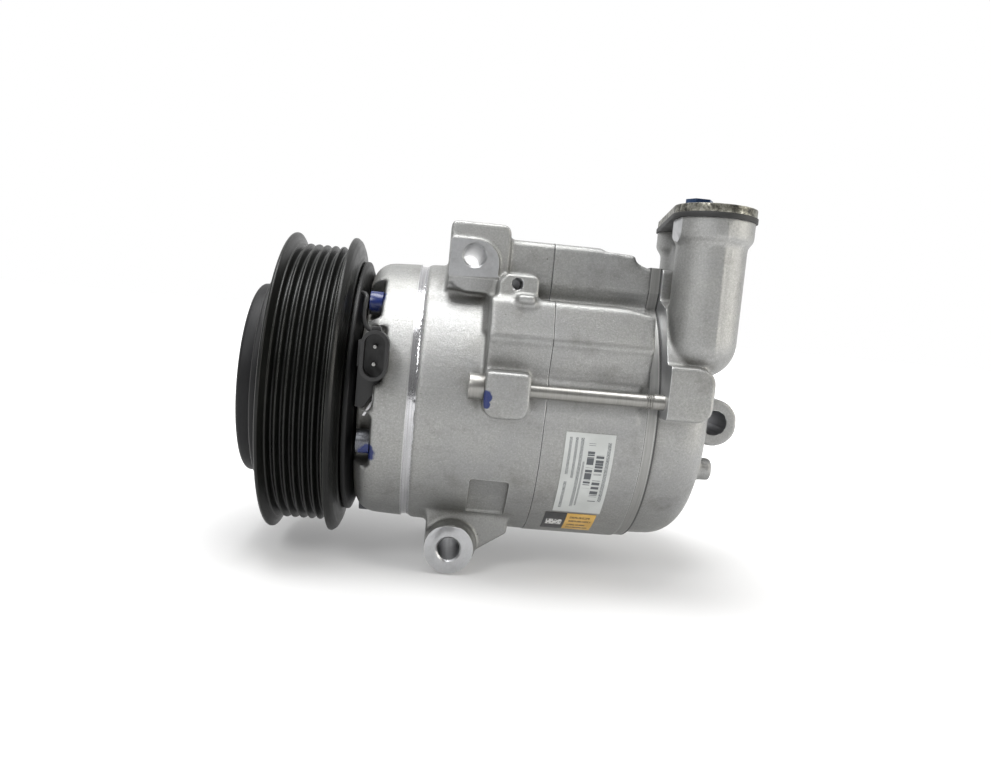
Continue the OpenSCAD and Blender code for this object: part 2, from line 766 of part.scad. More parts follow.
// The slot that the hinge pin runs in, from square to full tilt
module pin_slot() {
    run = pin_tilted - pin_at;
    along_y(-9, 9) translate([swash_x, 0]) {
        translate(pin_at) circle(pin_r + 0.3);
        translate(pin_tilted) circle(pin_r + 0.3);
        translate((pin_at + pin_tilted) / 2) rotate(atan2(run[1], run[0])) {
            square([norm(run), 2 * pin_r + 0.6], center = true);
        }
    }
}
module swash_sleeve() {
    color([0.55, 0.55, 0.57]) difference() {
        union() {
            xcyl(swash_x - 7, swash_x + 7, sleeve_r);
            ycyl(swash_x, 0, -21.5, 21.5, trunnion_r);
        }
        xcyl(swash_x - 8, swash_x + 8, shaft_r + fit);
    }
}
module swash_plate() {
    color([0.5, 0.5, 0.52]) difference() {
        union() {
            xcyl(swash_x - plate_half, swash_x + plate_half, swash_r);
            xcyl(swash_x - 6, swash_x + 6, 23);
            along_y(-4, 4) polygon([[swash_x + pin_at[0], 21.5], [swash_x + pin_at[0], 14.6],
                                    [73, 14.6], [73, 21.5]]);
            ycyl(swash_x + pin_at[0], pin_at[1], -4, 4, 4);
            ycyl(swash_x + pin_at[0], pin_at[1], -8.3, 8.3, pin_r);
        }
        xcyl(swash_x - 7, swash_x + 7, 14.6);
        ycyl(swash_x, 0, -23.5, 23.5, trunnion_r + fit);
    }
}
module destroke_spring() {
    turns = 4;
    wire = 0.9;
    color([0.4, 0.4, 0.42]) for (i = [0:turns - 1]) {
        rotate([0, 90, 0]) translate([0, 0, 46 + i * 7.5]) rotate_extrude() {
            translate([10, 0]) circle(r = wire, $fn = 20);
        }
    }
}
module rear_needle_bearing() {
    color([0.6, 0.6, 0.62]) xtube(100.2, 114, sleeve_r, 7 + fit);
}
module rear_thrust_washer() {
    color([0.55, 0.55, 0.57]) xtube(116.1, 119, sleeve_r, 3);
}

// ---------------------------------------------------------------- pistons and shoes

function cylinder_at(k) = at_angle(pitch_r, cyl_a0 + (k - 1) * 360 / cyl_n);

module piston(k) {
    at = cylinder_at(k);
    color([0.66, 0.66, 0.68]) difference() {
        translate(at) xcyl(piston_x0, piston_top_x, bore_r - fit);
        xcyl(piston_x0 - 1, 93, piston_inner_r);
        // slot round the swash plate's rim
        xcyl(swash_x - slot_half, swash_x + slot_half, bridge_r);
        difference() {
            xcyl(swash_x - slot_wide, swash_x + slot_wide, bridge_r);
            translate(at) xcyl(swash_x - 20, swash_x + 20, 7.8);
        }
        translate(at + [swash_x, 0, 0]) sphere(r = shoe_r + fit);
    }
}
module shoes(k) {
    flat = plate_half + shoe_gap;
    color([0.6, 0.6, 0.55]) translate(cylinder_at(k) + [swash_x, 0, 0]) difference() {
        sphere(r = shoe_r);
        box([-flat, -9, -9], [flat, 9, 9]);
    }
}
module piston_1() { piston(1); }
module piston_2() { piston(2); }
module piston_3() { piston(3); }
module piston_4() { piston(4); }
module piston_5() { piston(5); }
module piston_6() { piston(6); }
module shoes_1() { shoes(1); }
module shoes_2() { shoes(2); }
module shoes_3() { shoes(3); }
module shoes_4() { shoes(4); }
module shoes_5() { shoes(5); }
module shoes_6() { shoes(6); }

clutch_hub();
hub_damper();
hub_drum();
armature_plate();
armature_rivets();
hub_nut();
pulley();
pulley_bearing_outer();
pulley_bearing_balls();
pulley_bearing_inner();
bearing_snap_ring();
nose_snap_ring();
coil_body();
coil_winding();
coil_snap_ring();
coil_connector();
connector_pins();
front_housing();
front_o_ring();
crankcase();
mid_gasket();
cylinder_block();
block_gasket();
suction_reeds();
valve_plate();
discharge_reeds();
head_gasket();
rear_head();
through_bolts();
side_bolt();
control_valve();
relief_valve();
transport_plate();
transport_gasket();
transport_bolt();
label();
sticker();
drive_shaft();
shaft_seal();
front_needle_bearing();
front_thrust_bearing();
lug_plate();
swash_sleeve();
swash_plate();
destroke_spring();
rear_needle_bearing();
rear_thrust_washer();
piston_1();
piston_2();
piston_3();
piston_4();
piston_5();
piston_6();
shoes_1();
shoes_2();
shoes_3();
shoes_4();
shoes_5();
shoes_6();
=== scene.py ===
"""The compressor's looks: castings, refined metal pieces, materials, light and camera."""

import json
import math

import bmesh
import bpy
import numpy as np
from mathutils import Matrix, Vector


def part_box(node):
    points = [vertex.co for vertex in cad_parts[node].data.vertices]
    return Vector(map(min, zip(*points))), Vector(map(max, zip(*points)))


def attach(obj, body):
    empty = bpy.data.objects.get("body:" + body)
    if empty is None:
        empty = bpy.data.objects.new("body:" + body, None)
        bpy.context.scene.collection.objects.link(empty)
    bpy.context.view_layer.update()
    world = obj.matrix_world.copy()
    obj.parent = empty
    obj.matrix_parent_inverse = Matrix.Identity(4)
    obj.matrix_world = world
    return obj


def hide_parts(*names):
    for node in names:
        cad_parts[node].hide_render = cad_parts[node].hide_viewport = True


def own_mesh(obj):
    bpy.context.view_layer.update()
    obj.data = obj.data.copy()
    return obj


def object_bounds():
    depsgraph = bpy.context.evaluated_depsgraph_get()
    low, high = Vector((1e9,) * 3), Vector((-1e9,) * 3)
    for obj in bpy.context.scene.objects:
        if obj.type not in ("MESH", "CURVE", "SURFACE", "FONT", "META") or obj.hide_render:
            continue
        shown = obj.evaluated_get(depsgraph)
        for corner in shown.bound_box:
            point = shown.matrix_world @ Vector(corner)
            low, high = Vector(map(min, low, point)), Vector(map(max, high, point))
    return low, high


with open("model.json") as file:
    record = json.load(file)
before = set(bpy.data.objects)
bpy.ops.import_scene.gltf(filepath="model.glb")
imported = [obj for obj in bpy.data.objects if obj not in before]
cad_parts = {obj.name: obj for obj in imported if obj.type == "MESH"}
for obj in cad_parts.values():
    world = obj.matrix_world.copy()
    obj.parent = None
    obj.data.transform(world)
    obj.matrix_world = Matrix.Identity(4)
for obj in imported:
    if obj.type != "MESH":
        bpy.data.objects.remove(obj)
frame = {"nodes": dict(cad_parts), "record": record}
CAD_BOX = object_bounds()
MM = 0.001

# The camera looks along +Y from just above the shaft, turned a little towards the rear and rolled.
CAMERA_AT = Vector((52.86, -368.54, 37.99)) * MM
CAMERA_YAW = 0.069      # radians to the right of +Y
CAMERA_DROP = math.radians(5)
CAMERA_ROLL = 0.088
LENS = 29.8956
SENSOR = 36.0


def face_of(cad_node, end, axis):
    """Where a CAD node ends, in mm: end 0 is its low side and 1 its high side."""
    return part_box(cad_node)[end][axis] / MM


# Machined places of the castings, in millimetres
FRONT_JOINT_X = face_of("crankcase", 0, 0)
LAND_END_X = FRONT_JOINT_X + 3.6
MID_JOINTS_X = (face_of("crankcase", 1, 0), face_of("cylinder_block", 0, 0))
BLOCK_END_X = face_of("cylinder_block", 1, 0)
HEAD_START_X = 138.8    # the suction collar reaches further forward, so the box doesn't give it
PORT_Z = face_of("rear_head", 1, 2)
SIDE_BOLT = (-61.4, 9.6)
VOXEL = 0.75


# ---------------------------------------------------------------- material helpers

def node(tree, kind, inputs=None, **properties):
    """One shader node with its properties set and its inputs linked or given a value."""
    made = tree.nodes.new(kind)
    for name, value in properties.items():
        setattr(made, name, value)
    for name, value in (inputs or {}).items():
        plug(tree, made.inputs[name], value)
    return made


def plug(tree, socket, value):
    """Links a socket to another one, or sets it to a value."""
    if isinstance(value, bpy.types.NodeSocket):
        tree.links.new(value, socket)
    elif socket.type == "RGBA" and len(value) == 3:
        socket.default_value = (*value, 1)
    else:
        socket.default_value = value


def math_node(tree, operation, a, b=0.0, clamp=False):
    """The result of one sum on two sockets or numbers."""
    made = tree.nodes.new("ShaderNodeMath")
    made.operation = operation
    made.use_clamp = clamp
    plug(tree, made.inputs[0], a)
    plug(tree, made.inputs[1], b)
    return made.outputs[0]


def noise(tree, coords, scale, detail=4.0, roughness=0.6, stretch=None):
    """Noise in object space; scale is in cycles per metre and stretch squeezes each axis."""
    vector = coords
    if stretch:
        vector = node(tree, "ShaderNodeMapping", {"Vector": coords, "Scale": stretch}).outputs[0]
    return node(tree, "ShaderNodeTexNoise", {"Vector": vector, "Scale": scale, "Detail": detail,
                                             "Roughness": roughness}).outputs["Fac"]


def ramp(tree, factor, stops):
    """A colour ramp; each stop is (position, value or colour)."""
    made = node(tree, "ShaderNodeValToRGB", {"Fac": factor})
    while len(made.color_ramp.elements) < len(stops):
        made.color_ramp.elements.new(0.5)
    for element, (position, colour) in zip(made.color_ramp.elements, stops):
        element.position = position
        if not isinstance(colour, tuple):
            colour = (colour, colour, colour)
        element.color = (*colour, 1)
    return made.outputs["Color"]


def mix(tree, factor, a, b):
    """Colour a where the factor is 0 and colour b where it is 1."""
    made = node(tree, "ShaderNodeMix", {}, data_type="RGBA")
    plug(tree, made.inputs[0], factor)
    plug(tree, made.inputs[6], a)
    plug(tree, made.inputs[7], b)
    return made.outputs[2]


def start(name, metallic, roughness):
    """A new material: its tree, its Principled shader and its object coordinates."""
    material = bpy.data.materials.new(name)
    material.use_nodes = True
    tree = material.node_tree
    shader = tree.nodes["Principled BSDF"]
    shader.inputs["Metallic"].default_value = metallic
    shader.inputs["Roughness"].default_value = roughness
    coords = node(tree, "ShaderNodeTexCoord").outputs["Object"]
    return material, tree, shader, coords


def bump(tree, shader, height, distance, strength=1.0, before=None):
    """Adds a relief to the shader, on top of the one before it."""
    inputs = {"Height": height, "Distance": distance, "Strength": strength}
    if before is not None:
        inputs["Normal"] = before
    made = node(tree, "ShaderNodeBump", inputs).outputs["Normal"]
    tree.links.new(made, shader.inputs["Normal"])
    return made


def join(tree, shader, colour=None, roughness=None, metallic=None):
    """Links the colour, roughness and metallic that are given."""
    for name, value in (("Base Color", colour), ("Roughness", roughness), ("Metallic", metallic)):
        if value is not None:
            tree.links.new(value, shader.inputs[name])


def edge_wear_and_highlight(tree, radius=0.0006, gain=6.0):
    """Bright where an edge stands out, for rubbed edges and for painted edge highlights: the bevelled normal
    against the true one.
    """
    soft = node(tree, "ShaderNodeBevel", {"Radius": radius}, samples=4).outputs[0]
    true = node(tree, "ShaderNodeNewGeometry").outputs["Normal"]
    dot = node(tree, "ShaderNodeVectorMath", {0: soft, 1: true}, operation="DOT_PRODUCT").outputs["Value"]
    return math_node(tree, "MULTIPLY", math_node(tree, "SUBTRACT", 1.0, dot), gain, clamp=True)


def blob(tree, coords, centre, radius, ragged=0.35):
    """1 inside a ragged spot round a place given in millimetres, and 0 outside."""
    away = node(tree, "ShaderNodeVectorMath", {0: coords, 1: tuple(c * MM for c in centre)},
                operation="DISTANCE").outputs["Value"]
    rough = math_node(tree, "MULTIPLY", math_node(tree, "SUBTRACT", noise(tree, coords, 260, 3), 0.5),
                      ragged * 2 * radius * MM)
    far = math_node(tree, "SUBTRACT", math_node(tree, "ADD", away, rough), radius * 0.85 * MM)
    share = math_node(tree, "MAXIMUM", math_node(tree, "DIVIDE", far, radius * 0.15 * MM), 0.0)
    return math_node(tree, "SUBTRACT", 1.0, math_node(tree, "SMOOTH_MIN", share, 1.0), clamp=True)


def biggest(tree, values):
    """The largest of several values."""
    total = values[0]
    for value in values[1:]:
        total = math_node(tree, "MAXIMUM", total, value)
    return total


def paint_marks(tree, coords):
    """1 on the inspection paint."""
    return biggest(tree, [blob(tree, coords, *spot) for spot in PAINT_SPOTS])


# ---------------------------------------------------------------- materials

PAINT_SPOTS = [  # blue inspection marks: place in mm and radius
    ((27.5, -48.5, -19.8), 4.6), ((28.3, -51.5, -23.5), 2.2), ((29.5, -50.5, -26.5), 1.0),
    ((25.2, -35.0, 38.4), 5.2), ((26, -36.5, 42.0), 2.2),
    ((70.4, -67.6, 6.6), 2.7), ((70.9, -67.9, 3.8), 1.6),
]
PAINT_BLUE = (0.006, 0.016, 0.10)


def cast_metal():
    """Sand-blasted die casting: fine sparkle, smudges and stains, painted shade in the hollows, painted
    highlights on the edges, cleaner milled and turned faces.
    """
    material, tree, shader, coords = start("cast_aluminium", 0.9, 0.45)
    machined = node(tree, "ShaderNodeAttribute", attribute_name="machined").outputs["Fac"]
    milled = ramp(tree, machined, [(0.2, 0.0), (0.45, 1.0)])
    turned = ramp(tree, machined, [(0.7, 0.0), (0.9, 1.0)])
    grit = noise(tree, coords, 1300, 6, 0.75)
    speck = noise(tree, coords, 3600, 2, 0.5)
    cloud = noise(tree, coords, 30, 5, 0.62)
    stain = noise(tree, coords, 75, 7, 0.7)
    streak = noise(tree, coords, 120, 6, 0.7, stretch=(0.35, 1.0, 1.0))
    base = ramp(tree, grit, [(0.26, (0.235, 0.236, 0.228)), (0.52, (0.315, 0.316, 0.306)),
                             (0.80, (0.43, 0.431, 0.417))])
    base = mix(tree, ramp(tree, cloud, [(0.38, 0.0), (0.68, 0.55)]), base, (0.265, 0.268, 0.275))
    base = mix(tree, ramp(tree, stain, [(0.52, 0.0), (0.74, 0.5)]), base, (0.15, 0.148, 0.138))
    base = mix(tree, ramp(tree, streak, [(0.60, 0.0), (0.76, 0.4)]), base, (0.14, 0.14, 0.132))
    base = mix(tree, ramp(tree, streak, [(0.25, 0.35), (0.40, 0.0)]), base, (0.47, 0.47, 0.458))
    base = mix(tree, ramp(tree, speck, [(0.66, 0.0), (0.72, 0.45)]), base, (0.66, 0.66, 0.65))
    pore = ramp(tree, noise(tree, coords, 560, 2, 0.4), [(0.20, 1.0), (0.235, 0.0)])
    base = mix(tree, math_node(tree, "MULTIPLY", pore, 0.8), base, (0.10, 0.098, 0.09))
    # Painted shade: ambient occlusion darkens the hollows and recesses, broken up by the stain noise as
    # grime, which also roughens and dulls them
    hollow = node(tree, "ShaderNodeAmbientOcclusion", {"Distance": 0.006}, samples=6).outputs["AO"]
    hollow_shade_and_grime = math_node(tree, "MULTIPLY", ramp(tree, hollow, [(0.35, 1.0), (0.85, 0.0)]),
                     ramp(tree, stain, [(0.30, 0.45), (0.60, 0.95)]))
    base = mix(tree, hollow_shade_and_grime, base, (0.085, 0.08, 0.068))
    face = ramp(tree, grit, [(0.3, (0.42, 0.425, 0.435)), (0.7, (0.50, 0.505, 0.515))])
    face = mix(tree, ramp(tree, stain, [(0.50, 0.0), (0.70, 0.35)]), face, (0.22, 0.22, 0.215))
    base = mix(tree, milled, base, face)
    rings = noise(tree, coords, 1500, 3, 0.6, stretch=(1.0, 0.02, 0.02))
    base = mix(tree, turned, base, ramp(tree, rings, [(0.3, (0.34, 0.34, 0.35)), (0.7, (0.50, 0.50, 0.51))]))
    paint = paint_marks(tree, coords)
    base = mix(tree, paint, base, PAINT_BLUE)
    # Edges painted lighter: painted highlights where they would catch the light, and wear
    worn_and_highlit = math_node(tree, "MULTIPLY", edge_wear_and_highlight(tree, 0.0006, 6.0), 0.5)
    base = mix(tree, worn_and_highlit, base, (0.62, 0.62, 0.61))
    rough = ramp(tree, grit, [(0.3, 0.52), (0.7, 0.38)])
    rough = mix(tree, hollow_shade_and_grime, rough, (0.7, 0.7, 0.7))
    rough = mix(tree, milled, rough, (0.34, 0.34, 0.34))
    rough = mix(tree, turned, rough, ramp(tree, rings, [(0.3, 0.2), (0.7, 0.12)]))
    rough = mix(tree, paint, rough, (0.3, 0.3, 0.3))
    covered = math_node(tree, "MAXIMUM", paint, math_node(tree, "MULTIPLY", hollow_shade_and_grime, 0.6))
    metal = math_node(tree, "MULTIPLY", math_node(tree, "SUBTRACT", 1.0, covered), 0.9)
    join(tree, shader, base, rough, metal)
    raw = math_node(tree, "SUBTRACT", 1.0, math_node(tree, "MULTIPLY", milled, 0.85))
    first = bump(tree, shader, math_node(tree, "MULTIPLY", grit, raw), 0.00032, 0.55)
    pitted = math_node(tree, "SUBTRACT", noise(tree, coords, 190, 4), pore)
    second = bump(tree, shader, pitted, 0.0003, 0.35, first)
    bump(tree, shader, math_node(tree, "MULTIPLY", rings, turned), 0.00003, 0.6, second)
    return material


def black_paint(name, colour, roughness, turned=0.0, wear=0.0, grain=2200):
    """Dark coating over metal: uneven gloss, turning marks along X, edges rubbed lighter, also as painted
    highlights.
    """
    material, tree, shader, coords = start(name, 0.0, roughness)
    shader.inputs["Specular IOR Level"].default_value = 0.24
    fine = noise(tree, coords, grain, 4, 0.65)
    cloud = noise(tree, coords, 60, 5, 0.6)
    lathe = noise(tree, coords, 2400, 3, 0.7, stretch=(1.0, 0.015, 0.015))
    light = tuple(c * 1.6 + 0.002 for c in colour)
    base = mix(tree, ramp(tree, cloud, [(0.35, 0.0), (0.75, 0.6)]), colour, light)
    base = mix(tree, ramp(tree, fine, [(0.62, 0.0), (0.8, 0.4)]), base,
               tuple(c * 2.0 + 0.006 for c in colour))
    dust = noise(tree, coords, 420, 3, 0.5)
    base = mix(tree, ramp(tree, dust, [(0.70, 0.0), (0.82, 0.18)]), base, (0.09, 0.09, 0.085))
    if wear:
        patchy = ramp(tree, noise(tree, coords, 300, 4), [(0.35, 0.25), (0.65, 1.0)])
        # Edges rubbed lighter in patches: worn paint, and painted edge highlights
        worn_and_highlit = math_node(tree, "MULTIPLY", edge_wear_and_highlight(tree, 0.0005, 7.0), patchy)
        base = mix(tree, math_node(tree, "MULTIPLY", worn_and_highlit, wear), base, (0.13, 0.135, 0.12))
    low, high = max(0.05, roughness - 0.09), min(1.0, roughness + 0.1)
    gloss = [(0.3, low), (0.7, high)]
    rough = mix(tree, 0.5, ramp(tree, cloud, gloss), ramp(tree, lathe, gloss))
    join(tree, shader, base, rough)
    first = bump(tree, shader, fine, 0.00006, 0.5)
    if turned:
        bump(tree, shader, lathe, 0.00003, turned, first)
    return material


def steel(name, colour, roughness, turned=0.4, tint=None, metallic=1.0, stretch=(1.0, 0.02, 0.02)):
    """Ground or turned steel: fine marks, a little grime, edges painted lighter as highlights."""
    material, tree, shader, coords = start(name, metallic, roughness)
    marks = noise(tree, coords, 2200, 4, 0.7, stretch=stretch)
    cloud = noise(tree, coords, 160, 5, 0.62)
    dark = tuple(c * 0.72 for c in colour)
    base = mix(tree, ramp(tree, marks, [(0.3, 0.0), (0.7, 1.0)]), dark, colour)
    if tint:
        base = mix(tree, ramp(tree, cloud, [(0.38, 0.0), (0.66, 0.85)]), base, tint)
    base = mix(tree, ramp(tree, noise(tree, coords, 500, 4), [(0.62, 0.0), (0.80, 0.25)]), base,
               tuple(c * 0.35 for c in colour))
    # Painted highlight: the edges are painted lighter
    base = mix(tree, math_node(tree, "MULTIPLY", edge_wear_and_highlight(tree, 0.0004, 5.0), 0.45), base,
               tuple(min(1.0, c * 1.35 + 0.05) for c in colour))
    rough = mix(tree, 0.5, ramp(tree, cloud, [(0.3, roughness - 0.08), (0.7, roughness + 0.12)]),
                ramp(tree, marks, [(0.3, roughness - 0.05), (0.7, roughness + 0.08)]))
    join(tree, shader, base, rough)
    first = bump(tree, shader, marks, 0.00003, turned)
    bump(tree, shader, cloud, 0.00004, 0.25, first)
    return material


def painted_bolts():
    """Dark steel bolts with blue inspection paint on the heads in front."""
    material, tree, shader, coords = start("marked_bolts", 0.9, 0.4)
    fine = noise(tree, coords, 1800, 4, 0.7)
    base = ramp(tree, fine, [(0.3, (0.07, 0.072, 0.08)), (0.7, (0.2, 0.205, 0.22))])
    # Painted highlight: the edges of the bolts are painted lighter
    base = mix(tree, math_node(tree, "MULTIPLY", edge_wear_and_highlight(tree, 0.0004, 6.0), 0.6), base, (0.5, 0.52, 0.56))
    paint = paint_marks(tree, coords)
    base = mix(tree, paint, base, PAINT_BLUE)
    rough = mix(tree, paint, ramp(tree, fine, [(0.3, 0.35), (0.7, 0.5)]), (0.27, 0.27, 0.27))
    join(tree, shader, base, rough, math_node(tree, "MULTIPLY", math_node(tree, "SUBTRACT", 1.0, paint), 0.9))
    bump(tree, shader, fine, 0.00005, 0.4)
    return material


def moulded(name, colour, roughness, grain=3000, depth=0.00004, haze_and_sheen=(0.1, 0.1, 0.095)):
    """Moulded plastic or rubber with a fine eroded grain and a slight bloom."""
    material, tree, shader, coords = start(name, 0.0, roughness)
    fine = noise(tree, coords, grain, 4, 0.6)
    cloud = noise(tree, coords, 130, 5, 0.6)
    base = mix(tree, ramp(tree, cloud, [(0.4, 0.0), (0.75, 0.22)]), colour, haze_and_sheen)
    base = mix(tree, ramp(tree, fine, [(0.6, 0.0), (0.8, 0.3)]), base, tuple(c * 1.9 + 0.01 for c in colour))
    # Painted sheen: the edges are painted lighter, towards the haze colour
    base = mix(tree, math_node(tree, "MULTIPLY", edge_wear_and_highlight(tree, 0.0004, 5.0), 0.25), base, haze_and_sheen)
    join(tree, shader, base, ramp(tree, cloud, [(0.3, roughness - 0.06), (0.7, roughness + 0.1)]))
    bump(tree, shader, fine, depth, 0.6)
    return material


def zinc():
    """Yellow-passivated sheet with mottled stains and a sheared rim, painted lighter as a highlight."""
    material, tree, shader, coords = start("zinc_plate", 0.85, 0.38)
    mottle = noise(tree, coords, 330, 6, 0.72)
    fine = noise(tree, coords, 1700, 4, 0.7)
    base = ramp(tree, mottle, [(0.36, (0.014, 0.014, 0.016)), (0.48, (0.085, 0.082, 0.068)),
                               (0.57, (0.24, 0.235, 0.20)), (0.72, (0.46, 0.45, 0.41))])
    base = mix(tree, ramp(tree, fine, [(0.5, 0.0), (0.8, 0.4)]), base, (0.2, 0.19, 0.15))
    # Painted highlight: the rim is painted lighter
    base = mix(tree, math_node(tree, "MULTIPLY", edge_wear_and_highlight(tree, 0.0006, 5.0), 0.5), base, (0.75, 0.74, 0.68))
    join(tree, shader, base, ramp(tree, mottle, [(0.35, 0.5), (0.65, 0.3)]))
    bump(tree, shader, mottle, 0.00008, 0.5)
    return material


def stripes(tree, across, stops, rng, lit, dark):
    """Constant-colour bars of random width across 0 to 1."""
    made = node(tree, "ShaderNodeValToRGB", {"Fac": across})
    made.color_ramp.interpolation = "CONSTANT"
    edges = np.sort(rng.uniform(0.0, 1.0, stops - 1))
    while len(made.color_ramp.elements) < stops:
        made.color_ramp.elements.new(0.5)
    for i, element in enumerate(made.color_ramp.elements):
        element.position = 0.0 if i == 0 else float(edges[i - 1])
        value = lit if i % 2 else dark
        element.color = (value, value, value, 1)
    return made.outputs["Color"]


def window(tree, u, v, u0, u1, v0, v1):
    """1 inside a rectangle of the label's own coordinates."""
    parts = [math_node(tree, "GREATER_THAN", u, u0), math_node(tree, "LESS_THAN", u, u1),
             math_node(tree, "GREATER_THAN", v, v0), math_node(tree, "LESS_THAN", v, v1)]
    total = parts[0]
    for part in parts[1:]:
        total = math_node(tree, "MULTIPLY", total, part)
    return total


def sheet_coordinates(tree):
    """The label's own 0 to 1 coordinates, apart and as one vector."""
    u = node(tree, "ShaderNodeAttribute", attribute_name="sheet_u").outputs["Fac"]
    v = node(tree, "ShaderNodeAttribute", attribute_name="sheet_v").outputs["Fac"]
    flat = node(tree, "ShaderNodeCombineXYZ", {"X": u, "Y": v}).outputs[0]
    return u, v, flat


def dashes(tree, flat, scale, cut=0.5):
    """Irregular strokes that stand in for small print."""
    strokes = node(tree, "ShaderNodeTexNoise", {"Vector": flat, "Scale": scale, "Detail": 1.0,
                                                "Roughness": 0.5}).outputs["Fac"]
    return math_node(tree, "GREATER_THAN", strokes, cut)


def printed_label():
    """White film with generic bars and rows of strokes; nothing on it can be read."""
    material, tree, shader, coords = start("label_print", 0.0, 0.42)
    rng = np.random.default_rng(7)
    u, v, flat = sheet_coordinates(tree)
    ink = None
    rows = [(0.08, 0.135, 0.05, 0.46, 90), (0.20, 0.255, 0.05, 0.50, 80), (0.31, 0.375, 0.05, 0.90, 60),
            (0.40, 0.44, 0.30, 0.88, 95), (0.86, 0.93, 0.08, 0.80, 55), (0.09, 0.15, 0.55, 0.93, 50)]
    for u0, u1, v0, v1, count in rows:
        squeezed = node(tree, "ShaderNodeMapping", {"Vector": flat, "Scale": (1.0 / (u1 - u0), 1.0, 1.0)})
        strokes = math_node(tree, "MULTIPLY", dashes(tree, squeezed.outputs[0], count, 0.49),
                            window(tree, u, v, u0, u1, v0, v1))
        ink = strokes if ink is None else math_node(tree, "MAXIMUM", ink, strokes)
    for u0, u1, v0, v1, count in ((0.48, 0.62, 0.10, 0.62, 30), (0.66, 0.82, 0.22, 0.80, 31)):
        span = math_node(tree, "DIVIDE", math_node(tree, "SUBTRACT", v, v0), v1 - v0)
        bars = math_node(tree, "MULTIPLY", stripes(tree, span, count, rng, 0.0, 1.0),
                         window(tree, u, v, u0, u1, v0, v1))
        ink = math_node(tree, "MAXIMUM", ink, bars)
    paper = ramp(tree, noise(tree, coords, 90, 4),
                 [(0.35, (0.44, 0.455, 0.445)), (0.7, (0.53, 0.545, 0.535))])
    base = mix(tree, math_node(tree, "MULTIPLY", ink, 0.93), paper, (0.045, 0.05, 0.06))
    join(tree, shader, base, ramp(tree, noise(tree, coords, 500, 3), [(0.3, 0.38), (0.7, 0.5)]))
    bump(tree, shader, noise(tree, coords, 260, 4), 0.00006, 0.4)
    return material


def printed_sticker():
    """Half black, half orange film with plain strokes in place of words."""
    material, tree, shader, coords = start("sticker_print", 0.0, 0.4)
    u, v, flat = sheet_coordinates(tree)
    right = math_node(tree, "GREATER_THAN", u, 0.43)
    gold = ramp(tree, noise(tree, coords, 160, 4), [(0.35, (0.55, 0.32, 0.06)), (0.7, (0.72, 0.46, 0.12))])
    base = mix(tree, right, (0.03, 0.03, 0.032), gold)
    wide = node(tree, "ShaderNodeMapping", {"Vector": flat, "Scale": (1.0, 0.35, 1.0)}).outputs[0]
    light = math_node(tree, "MULTIPLY", dashes(tree, wide, 26, 0.42),
                      window(tree, u, v, 0.06, 0.37, 0.34, 0.66))
    base = mix(tree, math_node(tree, "MULTIPLY", light, 0.9), base, (0.7, 0.7, 0.68))
    for v0, v1, u1 in ((0.14, 0.24, 0.90), (0.34, 0.44, 0.94), (0.58, 0.68, 0.86), (0.78, 0.88, 0.94)):
        dark = math_node(tree, "MULTIPLY", dashes(tree, wide, 40, 0.42), window(tree, u, v, 0.50, u1, v0, v1))
        base = mix(tree, math_node(tree, "MULTIPLY", dark, 0.85), base, (0.09, 0.05, 0.02))
    join(tree, shader, base, ramp(tree, noise(tree, coords, 400, 3), [(0.3, 0.34), (0.7, 0.48)]))
    bump(tree, shader, noise(tree, coords, 300, 4), 0.00006, 0.4)
    return material


MATERIALS = {
    "cast": cast_metal(),
    "hub_black": black_paint("hub_black", (0.0058, 0.0058, 0.0066), 0.5, turned=0.15, wear=0.25),
    "rubber": moulded("black_rubber", (0.010, 0.010, 0.010), 0.62, 1800, 0.00006, haze_and_sheen=(0.05, 0.05, 0.048)),
    "armature": black_paint("armature_phosphate", (0.008, 0.008, 0.0085), 0.45, turned=0.4, wear=0.5),
    "pulley_paint": black_paint("pulley_paint", (0.0024, 0.0026, 0.0022), 0.33, turned=0.35, wear=0.6),
    "coil_black": black_paint("coil_black", (0.0026, 0.0026, 0.0029), 0.42, turned=0.2, wear=0.35),
    "connector_plastic": moulded("connector_plastic", (0.008, 0.008, 0.0085), 0.48, 2600, 0.00003,
                                 haze_and_sheen=(0.04, 0.04, 0.04)),
    "steel": steel("ground_steel", (0.52, 0.52, 0.53), 0.34),
    "bearing_steel": steel("bearing_steel", (0.64, 0.64, 0.66), 0.22, 0.2),
    "copper": steel("varnished_copper", (0.5, 0.2, 0.08), 0.4, 0.8),
    "tin_pins": steel("tin_pins", (0.34, 0.34, 0.33), 0.4, 0.2, stretch=(1.0, 0.1, 1.0)),
    "gasket": moulded("gasket_coating", (0.05, 0.05, 0.05), 0.55, 2400, 0.00004),
    "sheet_steel": steel("rolled_sheet", (0.34, 0.34, 0.33), 0.46, 0.3),
    "bolt_blue": painted_bolts(),
    "bolt_bright": steel("bright_bolt", (0.31, 0.305, 0.29), 0.36, 0.03, tint=(0.27, 0.265, 0.25),
                         metallic=0.95),
    "valve_body": steel("yellow_passivated", (0.48, 0.45, 0.34), 0.36, 0.4, tint=(0.36, 0.36, 0.3)),
    "brass": steel("turned_brass", (0.68, 0.48, 0.2), 0.3, 0.4),
    "zinc_plate": zinc(),
    "dark_blue_bolt": steel("dark_blue_bolt", (0.05, 0.085, 0.17), 0.32, 0.3, tint=(0.02, 0.035, 0.075)),
    "label_white": printed_label(),
    "sticker_orange": printed_sticker(),
    "piston_alloy": steel("piston_alloy", (0.5, 0.5, 0.52), 0.4, 0.4),
}
SLOT_OF = {part["node"]: part["material_slot"] for part in frame["record"]["subparts"]}


# ---------------------------------------------------------------- mesh helpers

